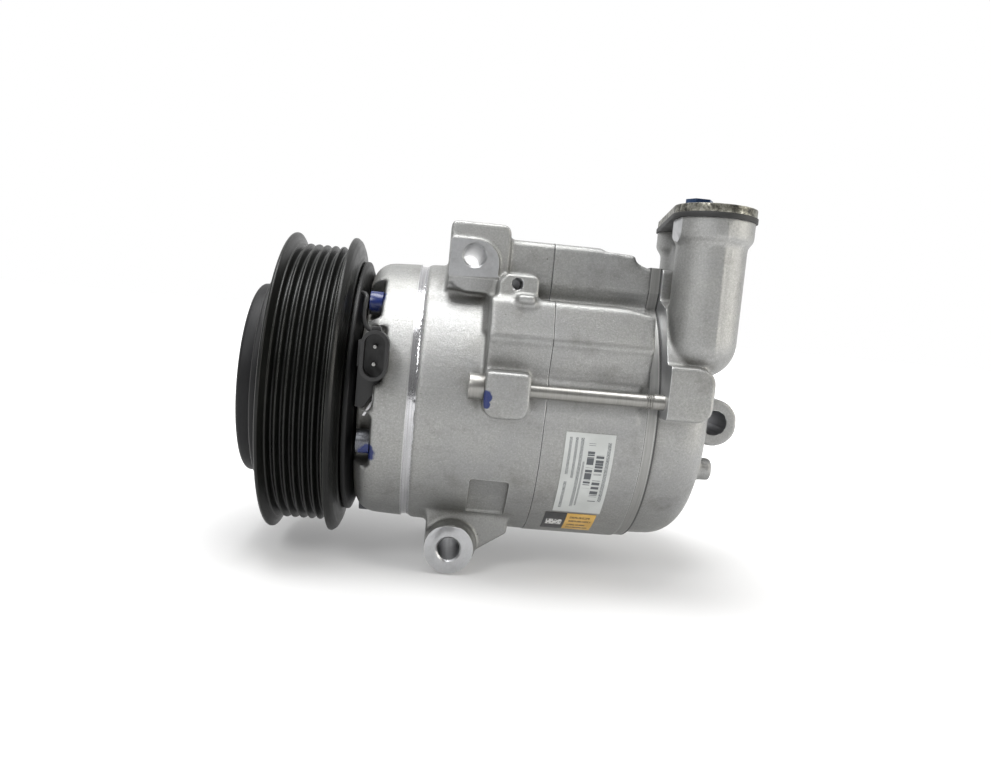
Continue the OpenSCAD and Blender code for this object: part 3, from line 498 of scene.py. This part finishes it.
def place(obj, body, slot_name, *nodes):
    """Gives a piece its slot's material and ties it to its CAD body."""
    obj.data.materials.clear()
    obj.data.materials.append(MATERIALS[slot_name])
    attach(obj, body)
    if nodes:
        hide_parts(*nodes)
    return obj


def fresh(name, mesh):
    """A new object in the scene."""
    obj = bpy.data.objects.new(name, mesh)
    bpy.context.scene.collection.objects.link(obj)
    return obj


def welded_copy(cad_node):
    """A copy of a CAD node's mesh with its seams closed and its faces turned outwards."""
    bm = bmesh.new()
    bm.from_mesh(frame["nodes"][cad_node].data)
    bmesh.ops.remove_doubles(bm, verts=bm.verts, dist=2e-6)
    bmesh.ops.dissolve_degenerate(bm, edges=bm.edges, dist=2e-6)
    bmesh.ops.recalc_face_normals(bm, faces=bm.faces)
    mesh = bpy.data.meshes.new(cad_node + "_shape")
    bm.to_mesh(mesh)
    bm.free()
    return mesh


def apply_modifiers(obj):
    """Bakes an object's modifiers into its mesh."""
    graph = bpy.context.evaluated_depsgraph_get()
    mesh = bpy.data.meshes.new_from_object(obj.evaluated_get(graph))
    obj.modifiers.clear()
    old = obj.data
    obj.data = mesh
    bpy.data.meshes.remove(old)


def outward(mesh):
    """Turns all faces of a closed mesh to look outwards."""
    bm = bmesh.new()
    bm.from_mesh(mesh)
    bmesh.ops.recalc_face_normals(bm, faces=bm.faces)
    bm.to_mesh(mesh)
    bm.free()


def smooth_by_angle(mesh, degrees):
    """Smooth shading, but for edges at least this sharp."""
    bm = bmesh.new()
    bm.from_mesh(mesh)
    for face in bm.faces:
        face.smooth = True
    limit = math.radians(degrees)
    for edge in bm.edges:
        edge.smooth = len(edge.link_faces) == 2 and edge.calc_face_angle(0.0) < limit
    bm.to_mesh(mesh)
    bm.free()


def bevelled(cad_node, body, width, segments=2, angle=35):
    """A CAD node as its own piece with every sharp edge broken, as on a turned or pressed part."""
    obj = fresh(cad_node + "_finished", welded_copy(cad_node))
    bm = bmesh.new()
    bm.from_mesh(obj.data)
    bmesh.ops.dissolve_limit(bm, angle_limit=math.radians(0.6), verts=bm.verts, edges=bm.edges)
    bm.to_mesh(obj.data)
    bm.free()
    bevel = obj.modifiers.new("edges", "BEVEL")
    bevel.width = width * MM
    bevel.segments = segments
    bevel.limit_method = "ANGLE"
    bevel.angle_limit = math.radians(angle)
    bevel.use_clamp_overlap = True
    bevel.harden_normals = False
    apply_modifiers(obj)
    smooth_by_angle(obj.data, 28)
    return place(obj, body, SLOT_OF[cad_node], cad_node)


def points_of(mesh):
    """The mesh's points as rows of x, y and z in mm."""
    p = np.empty(len(mesh.vertices) * 3)
    mesh.vertices.foreach_get("co", p)
    return p.reshape(-1, 3) / MM


def smoothstep(x, low, high):
    """0 below low, 1 above high and an even slope between them."""
    t = np.clip((x - low) / (high - low), 0.0, 1.0)
    return t * t * (3 - 2 * t)


MOUNTS = {mount["name"]: mount for mount in frame["record"]["mounts"]}


def mount_bore(name, axis, low, high, chamfered=""):
    """A row of BORES for one of the record's mounts."""
    place_at = [round(v / MM, 4) for v in MOUNTS[name]["pos_m"]]
    place_at.pop("xyz".index(axis))
    return (axis, *place_at, MOUNTS[name]["dims"]["r_mm"], low, high, chamfered)


EAR_FACE_Y = round(MOUNTS["upper_ear_bore"]["pos_m"][1] / MM, 4)

# Machined bores of the castings: axis, the two other coordinates, radius, range along the axis,
# and at which of the two ends a chamfer is cut (mm)
BORES = [
    mount_bore("upper_ear_bore", "y", EAR_FACE_Y - 1, 29, "low"),
    mount_bore("lower_ear_bore", "y", EAR_FACE_Y - 1, 31, "low"),
    mount_bore("bracket_screw_hole", "y", -55, -39),
    mount_bore("rear_ear_bore", "y", -31, 31),
    mount_bore("suction_port", "z", 24, PORT_Z + 1, "high"),
    mount_bore("discharge_port", "z", 54, PORT_Z + 1, "high"),
    ("z", 154.0, -27.0, 3.0, 56, PORT_Z + 1, ""),        # transport bolt
    ("x", *SIDE_BOLT, 3.3, 69, 88, ""),
    ("x", *SIDE_BOLT, 3.0, 138, 153, ""),
    ("x", 14.0, -24.0, 8.0, 141, 167, ""),               # control valve
    ("x", 24.0, 20.0, 5.0, 151, 167, ""),                # relief valve
]
LAND_R = 54.8
CHAMFER = 0.7
MILLED = 0.5           # value of the "machined" attribute on milled faces and bores; turned ones have 1
DRILL_EXTRA = 0.08


def bore_distance(p, bore):
    """Distance of each point to a bore's wall, and how far it is past the bore's ends."""
    axis, a, b, radius, low, high = bore[:6]
    i = "xyz".index(axis)
    others = [k for k in range(3) if k != i]
    away = np.linalg.norm(p[:, others] - np.array([a, b]), axis=1)
    past = np.maximum(np.maximum(low - p[:, i], p[:, i] - high), 0)
    return np.hypot(away - radius, past), past


def solid_of_turning(bm, profile, axis, a, b, segments=72):
    """Adds a closed turned solid to bm: (position along the axis, radius) points, its axis at a, b."""
    i = "xyz".index(axis)
    others = [k for k in range(3) if k != i]
    rows = []
    for t, r in profile:
        row = []
        for n in range(segments):
            angle = 2 * math.pi * n / segments
            point = [0.0, 0.0, 0.0]
            point[i] = t * MM
            point[others[0]] = (a + r * math.cos(angle)) * MM
            point[others[1]] = (b + r * math.sin(angle)) * MM
            row.append(bm.verts.new(point))
        rows.append(row)
    for first, second in zip(rows, rows[1:]):
        for n in range(segments):
            m = (n + 1) % segments
            bm.faces.new((first[n], first[m], second[m], second[n]))
    bm.faces.new(rows[0])
    bm.faces.new(rows[-1][::-1])


def cutter_box(bm, low, high):
    """Adds a box to bm, given its corners in mm."""
    made = bmesh.ops.create_cube(bm, size=1.0)
    for vert in made["verts"]:
        vert.co = Vector([(low[k] if vert.co[k] < 0 else high[k]) * MM for k in range(3)])


def cut(obj, fill):
    """Takes the solids that fill() draws away from obj, as a mill or a drill does."""
    bm = bmesh.new()
    fill(bm)
    bmesh.ops.recalc_face_normals(bm, faces=bm.faces)
    mesh = bpy.data.meshes.new("cutter")
    bm.to_mesh(mesh)
    bm.free()
    tool = fresh("cutter", mesh)
    boolean = obj.modifiers.new("cut", "BOOLEAN")
    boolean.operation = "DIFFERENCE"
    boolean.solver = "EXACT"
    boolean.object = tool
    apply_modifiers(obj)
    bpy.data.objects.remove(tool)


POCKET_X = (68.4, 84.2)
POCKET_FLOOR = 53.8          # distance of its flat floor from the shaft
POCKET_ALONG = (-6.9, 15.2)  # its ends along the slope of the floor
POCKET_TILT = math.radians(-36.9)


def pocket(bm):
    """The flat-bottomed recess low on the camera side of the crankcase."""
    cutter_box(bm, (POCKET_X[0], POCKET_FLOOR, POCKET_ALONG[0]), (POCKET_X[1], 60, POCKET_ALONG[1]))
    bmesh.ops.bevel(bm, geom=bm.edges[:], offset=1.3 * MM, segments=4, affect="EDGES", profile=0.5)
    lean, rise = math.cos(POCKET_TILT), math.sin(POCKET_TILT)
    for vert in bm.verts:
        away, along = vert.co.y, vert.co.z
        vert.co.y = -lean * away - rise * along
        vert.co.z = rise * away - lean * along


def drill(bore):
    """A cutter for one bore, just wider than its wall, with its chamfer at the open end."""
    axis, a, b, radius, low, high, chamfered = bore
    r = radius + DRILL_EXTRA
    profile = [(low, r), (high, r)]
    if chamfered == "low":
        face = low + 1.0
        profile = [(low, r + CHAMFER + 1.0), (face + CHAMFER, r), (high, r)]
    elif chamfered == "high":
        face = high - 1.0
        profile = [(low, r), (face - CHAMFER, r), (high, r + CHAMFER + 1.0)]
    return lambda bm: solid_of_turning(bm, profile, axis, a, b)


def middle_x(bore):
    """The X of the bore's middle."""
    axis, a, _, _, low, high, _ = bore
    return (low + high) / 2 if axis == "x" else a


STOCK = 1.6            # metal left on a face before it is milled
MILL_DEPTH = 6
ON_FACE = 0.02         # how near a point lies to a face that it is on


def on_mill(p, mill):
    """True for the points on a milled face: axis, its place on that axis, way out, and two corners."""
    axis, value, _, low, high = mill
    found = np.abs(p[:, axis] - value) < ON_FACE
    for k in range(3):
        if k != axis:
            found &= (p[:, k] > low[k]) & (p[:, k] < high[k])
    return found


def grow(mesh, mills):
    """Moves the vertices that lie on a milled face out by the stock that the mill takes off."""
    p = points_of(mesh)
    for mill in mills:
        p[on_mill(p, mill), mill[0]] += mill[2] * STOCK
    mesh.vertices.foreach_set("co", (p * MM).ravel())
    mesh.update()


def mill_box(axis, value, way, low, high):
    """The corners of the space that a mill clears on the outer side of its face."""
    a, b = list(low), list(high)
    a[axis], b[axis] = sorted((value, value + way * MILL_DEPTH))
    return a, b


def near_land(p, x0, x1, reach):
    """True for the points within reach of the turned land on the front of the crankcase."""
    radius = np.hypot(p[:, 1], p[:, 2])
    return (p[:, 0] > x0) & (p[:, 0] < x1) & (np.abs(radius - LAND_R) < reach)


def casting(cad_node, ridges, span_x, mills):
    """A cast housing: the CAD shape remeshed and softened as a casting is, then its machined faces cut."""
    obj = fresh(cad_node + "_casting", welded_copy(cad_node))
    grow(obj.data, mills)
    remesh = obj.modifiers.new("skin", "REMESH")
    remesh.mode = "VOXEL"
    remesh.voxel_size = VOXEL * MM
    apply_modifiers(obj)
    mesh = obj.data
    p = points_of(mesh)
    count = len(p)
    edges = np.empty(len(mesh.edges) * 2, dtype=np.int64)
    mesh.edges.foreach_get("vertices", edges)
    a, b = edges.reshape(-1, 2).T
    degree = np.maximum(np.bincount(np.concatenate([a, b]), minlength=count), 1)

    # how far each point is from the nearest machined joint or bore
    near = np.full(count, 9.0)
    for bore in BORES:
        near = np.minimum(near, bore_distance(p, bore)[0] + 0.4)
    has_land = cad_node == "crankcase"
    band = has_land & near_land(p, FRONT_JOINT_X - STOCK, LAND_END_X - 0.4, 0.8)
    turned = np.where(band, LAND_R / np.hypot(p[:, 1], p[:, 2]), 1.0)
    p[:, 1] *= turned
    p[:, 2] *= turned
    near = np.where(band, 0.0, near)
    weight = smoothstep(near, 0.4, 1.8)[:, None]

    def spread(values):
        """From each point to the middle of its neighbours."""
        total = np.stack([np.bincount(a, values[b, k], count) + np.bincount(b, values[a, k], count)
                          for k in range(3)], 1)
        return total / degree[:, None] - values

    for _ in range(10):
        p += 0.55 * weight * spread(p)
        p -= 0.30 * weight * spread(p)
    for _ in range(2):
        p += 0.35 * np.maximum(weight, 0.1) * spread(p)
    for ridge in ridges:
        p = ridge(p)
    mesh.vertices.foreach_set("co", (p * MM).ravel())
    for mill in mills:
        cut(obj, lambda bm: cutter_box(bm, *mill_box(*mill)))
    if has_land:
        cut(obj, pocket)
    for bore in BORES:
        if span_x[0] <= middle_x(bore) <= span_x[1]:
            cut(obj, drill(bore))

    mesh = obj.data
    p = points_of(mesh)
    machined = np.zeros(len(p))
    for mill in mills:
        machined = np.maximum(machined, MILLED * on_mill(p, mill))
    for bore in BORES:
        gap, past = bore_distance(p, bore)
        machined = np.maximum(machined, MILLED * ((gap < 0.3) & (past <= 0)))
    machined = np.maximum(machined, has_land & near_land(p, FRONT_JOINT_X - 0.4, LAND_END_X - 0.2, 0.3))
    layer = mesh.attributes.new("machined", "FLOAT", "POINT")
    layer.data.foreach_set("value", machined.astype(np.float32))
    mesh.update()
    smooth_by_angle(mesh, 38)
    return place(obj, "root", "cast", cad_node)


def raised_line(inside, distance, height, width):
    """A fine raised seam where two halves of the mould met."""
    def change(p):
        """The points with those near the line lifted away from the shaft."""
        d = distance(p)
        lift = height * np.exp(-(d / width) ** 2) * inside(p)
        radial = p.copy()
        radial[:, 0] = 0
        radial /= np.maximum(np.linalg.norm(radial, axis=1), 1e-9)[:, None]
        return p + radial * lift[:, None]
    return change


def tower_seam(p):
    """The seam down the front of the suction tower and of the boss below it."""
    centre = np.array(MOUNTS["suction_port"]["pos_m"][:2]) / MM
    flat = p[:, :2] - centre
    away = np.linalg.norm(flat, axis=1)
    seam_x = 155.0 - 0.02 * (p[:, 2] - 10)
    inside = (p[:, 1] < -58) & (away > 12.6) & (p[:, 0] > 145) & (p[:, 0] < 160) & (p[:, 2] < 78)
    lift = 0.30 * np.exp(-((p[:, 0] - seam_x) / 0.8) ** 2) * inside
    return p + np.stack([np.zeros(len(p)), -lift, np.zeros(len(p))], 1)


def lathe(name, profile, segments=256):
    """A turned piece about the X axis from closed (x, radius) points in mm."""
    count = len(profile)
    angles = np.linspace(0, 2 * np.pi, segments, endpoint=False)
    pts = np.array([(x, r * math.cos(t), r * math.sin(t)) for t in angles for x, r in profile]) * MM
    faces = []
    for i in range(segments):
        j = (i + 1) % segments
        for k in range(count):
            m = (k + 1) % count
            faces.append((i * count + k, j * count + k, j * count + m, i * count + m))
    mesh = bpy.data.meshes.new(name)
    mesh.from_pydata(pts.tolist(), [], faces)
    outward(mesh)
    return fresh(name, mesh)


def rounded(profile, radius):
    """The profile with each corner cut by a small arc of three points."""
    out = []
    count = len(profile)
    for i, (x, r) in enumerate(profile):
        here = np.array([x, r], float)
        before = np.array(profile[i - 1], float) - here
        after = np.array(profile[(i + 1) % count], float) - here
        lb, la = np.linalg.norm(before), np.linalg.norm(after)
        back = min(radius, 0.4 * lb, 0.4 * la)
        p0, p2 = here + before / lb * back, here + after / la * back
        mid = 0.25 * p0 + 0.5 * here + 0.25 * p2
        out += [tuple(p0), tuple(mid), tuple(p2)]
    return out


def finished_lathe(name, profile, radius, body, slot_name, *nodes):
    """A turned piece with its corners rounded, in place of a CAD node."""
    obj = lathe(name, rounded(profile, radius))
    smooth_by_angle(obj.data, 40)
    return place(obj, body, slot_name, *nodes)


# ---------------------------------------------------------------- clutch and pulley

RIB_R = 60.0
GROOVES = 6
GROOVE_DEPTH = 2.8
GROOVE_PITCH = 3.56
GROOVE_FOOT = 0.45
GROOVE_TOP = GROOVE_FOOT + GROOVE_DEPTH * math.tan(math.radians(20))
FLANGE_R = face_of("pulley", 1, 2)


def pulley_profile():
    """The pulley's cross-section: front web and flange, grooves, rear flange, and the inside."""
    grooves = []
    for i in range(GROOVES):
        middle = (i - (GROOVES - 1) / 2) * GROOVE_PITCH
        grooves += [(middle - GROOVE_TOP, RIB_R), (middle - GROOVE_FOOT, RIB_R - GROOVE_DEPTH),
                    (middle + GROOVE_FOOT, RIB_R - GROOVE_DEPTH), (middle + GROOVE_TOP, RIB_R)]
    front = [(-16.5, 26.0), (-16.5, 39.9), (-12.1, 39.9), (-12.1, 43.1), (-16.5, 43.1), (-16.5, 51.0),
             (-16.0, 51.5), (-13.9, 53.0), (-13.9, 63.7), (-13.3, FLANGE_R), (-12.5, FLANGE_R),
             (-10.9, RIB_R)]
    rear = [(10.8, RIB_R), (11.8, FLANGE_R), (12.8, FLANGE_R), (14.2, 63.2), (15.2, 61.0), (16.0, 56.2),
            (16.6, 55.4), (16.6, 52.2), (-12.0, 52.2), (-12.0, 31.5), (9.0, 31.5), (9.0, 27.5), (-13.0, 27.5),
            (-13.0, 26.0)]
    return front + grooves + rear


finished_lathe("pulley_turned", pulley_profile(), 0.35, "pulley", "pulley_paint", "pulley")
finished_lathe("hub_drum_turned", [(-26.1, 33.15), (-26.5, 33.6), (-26.5, 40.0), (-25.5, 41.0), (-20.0, 41.0),
                                   (-20.0, 33.15)], 0.6, "armature", "hub_black", "hub_drum")
finished_lathe("armature_turned",
               [(-20.0, 24.0), (-20.0, 45.9), (-19.4, 46.5), (-17.05, 46.5), (-17.05, 24.0)],
               0.3, "armature", "armature", "armature_plate")
finished_lathe("coil_shell_turned",
               [(12.0, 24.0), (12.0, 33.0), (-10.5, 33.0), (-10.5, 35.5), (12.0, 35.5), (12.0, 48.0),
                (-10.5, 48.0), (-10.5, 50.8), (17.2, 50.8), (17.2, 54.5), (19.0, 54.5), (21.0, 49.0),
                (21.0, 24.0)],
               0.5, "root", "coil_black", "coil_body")
for cad_node, width in (("clutch_hub", 0.35), ("hub_nut", 0.3), ("armature_rivets", 0.3)):
    bodies = frame["record"]["behaviour"]["bodies"]
    body = next(name for name, members in bodies.items() if cad_node in members)
    bevelled(cad_node, body, width)

# ---------------------------------------------------------------- castings

case_seam = raised_line(lambda p: (p[:, 0] > 46) & (p[:, 0] < 68) & (p[:, 1] < 0),
                        lambda p: p[:, 2] - 7.3, 0.12, 0.6)
case_seam_down = raised_line(lambda p: (p[:, 2] < -4) & (p[:, 2] > -14) & (p[:, 1] < -40),
                             lambda p: p[:, 0] - 80.5, 0.12, 0.6)
ALL_LOW, ALL_HIGH = (-99, -99, -99), (199, 99, 99)
casting("front_housing", [], (-20, 41), [(0, FRONT_JOINT_X, 1, ALL_LOW, ALL_HIGH)])
casting("crankcase", [case_seam, case_seam_down], (42, 94),
        [(0, FRONT_JOINT_X, -1, ALL_LOW, ALL_HIGH), (0, MID_JOINTS_X[0], 1, ALL_LOW, ALL_HIGH),
         (1, EAR_FACE_Y, -1, (45, -99, 50.5), (73.2, 99, 99)),
         (1, EAR_FACE_Y, -1, (45, -99, -99), (85, 99, -50))])
casting("cylinder_block", [], (95, 133),
        [(0, MID_JOINTS_X[1], -1, ALL_LOW, ALL_HIGH), (0, BLOCK_END_X, 1, ALL_LOW, ALL_HIGH)])
casting("rear_head", [tower_seam], (139, 175),
        [(0, HEAD_START_X, -1, ALL_LOW, ALL_HIGH), (2, PORT_Z, 1, (130, -99, -99), (185, 99, 99))])

# ---------------------------------------------------------------- bolts, cover, connector

for cad_node, width in (("through_bolts", 0.4), ("side_bolt", 0.4), ("coil_connector", 0.45),
                        ("connector_pins", 0.2), ("control_valve", 0.4), ("relief_valve", 0.4)):
    bevelled(cad_node, "root", width)
for cad_node, width in (("transport_plate", 0.5), ("transport_gasket", 0.5), ("transport_bolt", 0.35)):
    bevelled(cad_node, "cover", width)


def spring_that_gives(cad_node, body):
    """The spring as its own piece, with a mesh of its own.
    """
    obj = place(fresh(cad_node + "_coil", welded_copy(cad_node)), body, SLOT_OF[cad_node], cad_node)
    smooth_by_angle(obj.data, 40)
    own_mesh(obj)
    return obj


spring_that_gives("destroke_spring", "shaft")


def thread(name, x0, x1, root, crest, pitch, y, z):
    """Thread crests as turned rings on the side bolt's rear end."""
    profile = [(x0, root - 0.6)]
    for i in range(int((x1 - x0) / pitch)):
        x = x0 + i * pitch
        profile += [(x + 0.05 * pitch, root), (x + 0.42 * pitch, crest), (x + 0.58 * pitch, crest),
                    (x + 0.95 * pitch, root)]
    profile.append((x1, root - 0.6))
    obj = lathe(name, profile, 64)
    obj.data.transform(Matrix.Translation(Vector((0, y, z)) * MM))
    smooth_by_angle(obj.data, 25)
    return place(obj, "root", "bolt_bright")


thread("side_bolt_thread", 131.4, 138.6, 2.72, 3.0, 0.9, *SIDE_BOLT)


def tube(name, points, radius, slot_name, sides=12):
    """A smooth lead swept along given points, in mm."""
    data = bpy.data.curves.new(name, "CURVE")
    data.dimensions = "3D"
    data.bevel_depth = radius * MM
    data.bevel_resolution = sides // 4
    data.use_fill_caps = True
    line = data.splines.new("NURBS")
    line.points.add(len(points) - 1)
    line.use_endpoint_u = True
    line.order_u = 3
    line.resolution_u = 8
    for point, place_at in zip(line.points, points):
        point.co = (*(c * MM for c in place_at), 1)
    curve = fresh(name + "_path", data)
    mesh = bpy.data.meshes.new_from_object(curve.evaluated_get(bpy.context.evaluated_depsgraph_get()))
    bpy.data.objects.remove(curve)
    obj = fresh(name, mesh)
    smooth_by_angle(mesh, 60)
    return place(obj, "root", slot_name)


tube("coil_lead", [(20.4, -44, 40.5), (22.9, -48.5, 40.2), (22.5, -50, 36.5), (22.2, -50.2, 31),
                   (23.6, -50.4, 27.4), (26.4, -50.4, 26.0), (27.6, -51, 23)], 0.85, "connector_plastic")


def plate_piece(name, outline, y0, y1, slot_name, width=0.25):
    """A small flat part from an X-Z outline between two Y planes, its edges broken."""
    count = len(outline)
    verts = [(x * MM, y * MM, z * MM) for y in (y0, y1) for x, z in outline]
    faces = [tuple(range(count)), tuple(range(2 * count - 1, count - 1, -1))]
    faces += [(i, i + count, (i + 1) % count + count, (i + 1) % count) for i in range(count)]
    mesh = bpy.data.meshes.new(name)
    mesh.from_pydata(verts, [], faces)
    bm = bmesh.new()
    bm.from_mesh(mesh)
    bmesh.ops.recalc_face_normals(bm, faces=bm.faces)
    bmesh.ops.bevel(bm, geom=bm.edges[:], offset=width * MM, segments=2, affect="EDGES", profile=0.6)
    bm.to_mesh(mesh)
    bm.free()
    obj = fresh(name, mesh)
    smooth_by_angle(mesh, 30)
    return place(obj, "root", slot_name)


plate_piece("coil_bracket", [(21.4, -3.2), (24.6, -3.6), (27.6, 1.2), (30.4, 3.2), (30.4, 10.8),
                             (26.6, 12.6), (21.4, 12.6)], -50.6, -46.2, "connector_plastic", 0.4)
plate_piece("coil_clip", [(28.2, -1.0), (31.0, -0.8), (31.0, 2.4), (28.2, 2.6)], -54.2, -50.4, "steel", 0.25)
plate_piece("coil_clip_tail", [(24.6, -6.2), (25.6, -6.4), (28.6, -1.2), (27.8, -0.6)], -52.4, -51.0,
            "steel", 0.2)
plate_piece("connector_latch", [(26.3, 26.6), (30.1, 26.6), (29.7, 28.4), (26.7, 28.4)], -60.6, -54.2,
            "connector_plastic", 0.3)

# ---------------------------------------------------------------- label and sticker

LABEL_R = 57.5


def wrapped(name, a0, a1, slot_name, cad_node, thick=0.15, across=24, along=40):
    """A thin closed film round the cylinder block, with its own 0 to 1 coordinates for the print."""
    x0, x1 = face_of(cad_node, 0, 0), face_of(cad_node, 1, 0)
    us, vs = np.linspace(0, 1, across + 1), np.linspace(0, 1, along + 1)
    verts, values = [], []
    for r in (LABEL_R + 0.02, LABEL_R + thick):
        for v in vs:
            angle = math.radians(a0 + (a1 - a0) * v)
            for u in us:
                verts.append(((x0 + (x1 - x0) * u) * MM, -r * math.cos(angle) * MM,
                              r * math.sin(angle) * MM))
                values.append((u, v))
    row = across + 1
    sheet = row * (along + 1)
    faces = []
    for j in range(along):
        for i in range(across):
            q = j * row + i
            faces.append((q, q + 1, q + 1 + row, q + row))
            faces.append((sheet + q, sheet + q + row, sheet + q + 1 + row, sheet + q + 1))
    rim = [j * row for j in range(along + 1)] + [along * row + i for i in range(1, row)]
    rim += [j * row + across for j in range(along - 1, -1, -1)] + list(range(across - 1, 0, -1))
    for i, first in enumerate(rim):
        second = rim[(i + 1) % len(rim)]
        faces.append((first, second, second + sheet, first + sheet))
    mesh = bpy.data.meshes.new(name)
    mesh.from_pydata(verts, [], faces)
    for k, attribute in enumerate(("sheet_u", "sheet_v")):
        layer = mesh.attributes.new(attribute, "FLOAT", "POINT")
        layer.data.foreach_set("value", np.array([pair[k] for pair in values], np.float32))
    outward(mesh)
    obj = fresh(name, mesh)
    smooth_by_angle(mesh, 30)
    return place(obj, "root", slot_name, cad_node)


wrapped("label_film", -5, -44, "label_white", "label")
wrapped("sticker_film", -45.5, -62, "sticker_orange", "sticker")

# ---------------------------------------------------------------- materials of the nodes that stay

for name, obj in frame["nodes"].items():
    obj.data.materials.clear()
    obj.data.materials.append(MATERIALS[SLOT_OF[name]])


# ---------------------------------------------------------------- camera, light, stage

def make_camera():
    """The camera at the photograph's angle."""
    tilt = Matrix.Rotation(-CAMERA_DROP, 3, "X")
    ahead = tilt @ Vector((math.sin(CAMERA_YAW), math.cos(CAMERA_YAW), 0))
    right = tilt @ Vector((math.cos(CAMERA_YAW), -math.sin(CAMERA_YAW), 0))
    up = tilt @ Vector((0, 0, 1))
    side = math.cos(CAMERA_ROLL) * right + math.sin(CAMERA_ROLL) * up
    top = -math.sin(CAMERA_ROLL) * right + math.cos(CAMERA_ROLL) * up
    data = bpy.data.cameras.new("camera")
    data.sensor_width = SENSOR
    data.lens = LENS
    data.clip_start = 0.01
    camera = bpy.data.objects.new("camera", data)
    bpy.context.scene.collection.objects.link(camera)
    matrix = Matrix((side, top, -ahead)).transposed().to_4x4()
    matrix.translation = CAMERA_AT
    camera.matrix_world = matrix
    bpy.context.scene.camera = camera


def area_light(name, at, aim, size, power, colour=(1, 1, 1)):
    """A softbox at one place that looks at another."""
    data = bpy.data.lights.new(name, "AREA")
    data.shape = "RECTANGLE"
    data.size, data.size_y = size
    data.energy = power
    data.color = colour
    light = bpy.data.objects.new(name, data)
    bpy.context.scene.collection.objects.link(light)
    light.location = Vector(at)
    light.rotation_euler = (Vector(aim) - Vector(at)).to_track_quat("-Z", "Y").to_euler()


FLOOR_HALF = 6.0
FLOOR_GAP = 0.0002


def make_stage():
    """A pale floor under the object with a painted glow that is weak round the object and grows away from it,
    so that the floor is darker there as painted shade.
    """
    mesh = bpy.data.meshes.new("floor")
    s = FLOOR_HALF
    z = CAD_BOX[0][2] - FLOOR_GAP
    mesh.from_pydata([(-s, -s, z), (s, -s, z), (s, s, z), (-s, s, z)], [], [(0, 1, 2, 3)])
    floor = fresh("floor", mesh)
    material = bpy.data.materials.new("floor_painted_glow")
    material.use_nodes = True
    shader = material.node_tree.nodes["Principled BSDF"]
    shader.inputs["Base Color"].default_value = (0.5, 0.5, 0.5, 1)
    shader.inputs["Roughness"].default_value = 0.95
    shader.inputs["Specular IOR Level"].default_value = 0.1
    shader.inputs["Emission Color"].default_value = (1, 1, 1, 1)
    tree = material.node_tree
    coords = node(tree, "ShaderNodeTexCoord").outputs["Object"]
    # Painted glow: the floor glows weakly round the object and strongly away from it, white far off and
    # darker round the object
    away = node(tree, "ShaderNodeVectorMath", {0: coords, 1: (0.07, -0.02, CAD_BOX[0][2])},
                operation="DISTANCE").outputs["Value"]
    glow = ramp(tree, away, [(0.10, 0.25), (0.30, 0.8), (0.8, 0.95)])
    tree.links.new(glow, shader.inputs["Emission Strength"])
    mesh.materials.append(material)


def half_up(tree, value):
    """Brings a value from -1 to 1 into 0 to 1."""
    return math_node(tree, "ADD", math_node(tree, "MULTIPLY", value, 0.5), 0.5)


def make_world():
    """White behind the object, greyer behind the camera so that the metal keeps its contrast."""
    world = bpy.data.worlds.new("studio")
    world.use_nodes = True
    tree = world.node_tree
    way = node(tree, "ShaderNodeTexCoord").outputs["Generated"]
    parts = node(tree, "ShaderNodeSeparateXYZ", {"Vector": way})
    behind = ramp(tree, half_up(tree, parts.outputs["Y"]),
                  [(0.0, 0.0), (0.50, 0.0), (0.60, 1.0), (1.0, 1.0)])
    front = ramp(tree, half_up(tree, parts.outputs["Z"]),
                 [(0.0, 0.03), (0.45, 0.06), (0.60, 0.16), (1.0, 0.5)])
    level = mix(tree, behind, front, (1.0, 1.0, 1.0))
    tree.links.new(level, tree.nodes["Background"].inputs[0])
    tree.nodes["Background"].inputs[1].default_value = 1.0
    bpy.context.scene.world = world
    bpy.context.scene.view_settings.view_transform = "Standard"


make_camera()
make_stage()
make_world()
AIM = (0.07, -0.03, 0.0)
area_light("overhead", (0.0, -0.12, 0.72), AIM, (0.60, 0.36), 6.8)
area_light("front_left", (-0.38, -0.66, 0.55), AIM, (0.28, 0.36), 3.2)
area_light("rear_right", (0.80, -0.30, 0.22), (0.15, -0.05, 0.03), (0.16, 0.60), 2.8, (1.0, 0.97, 0.90))
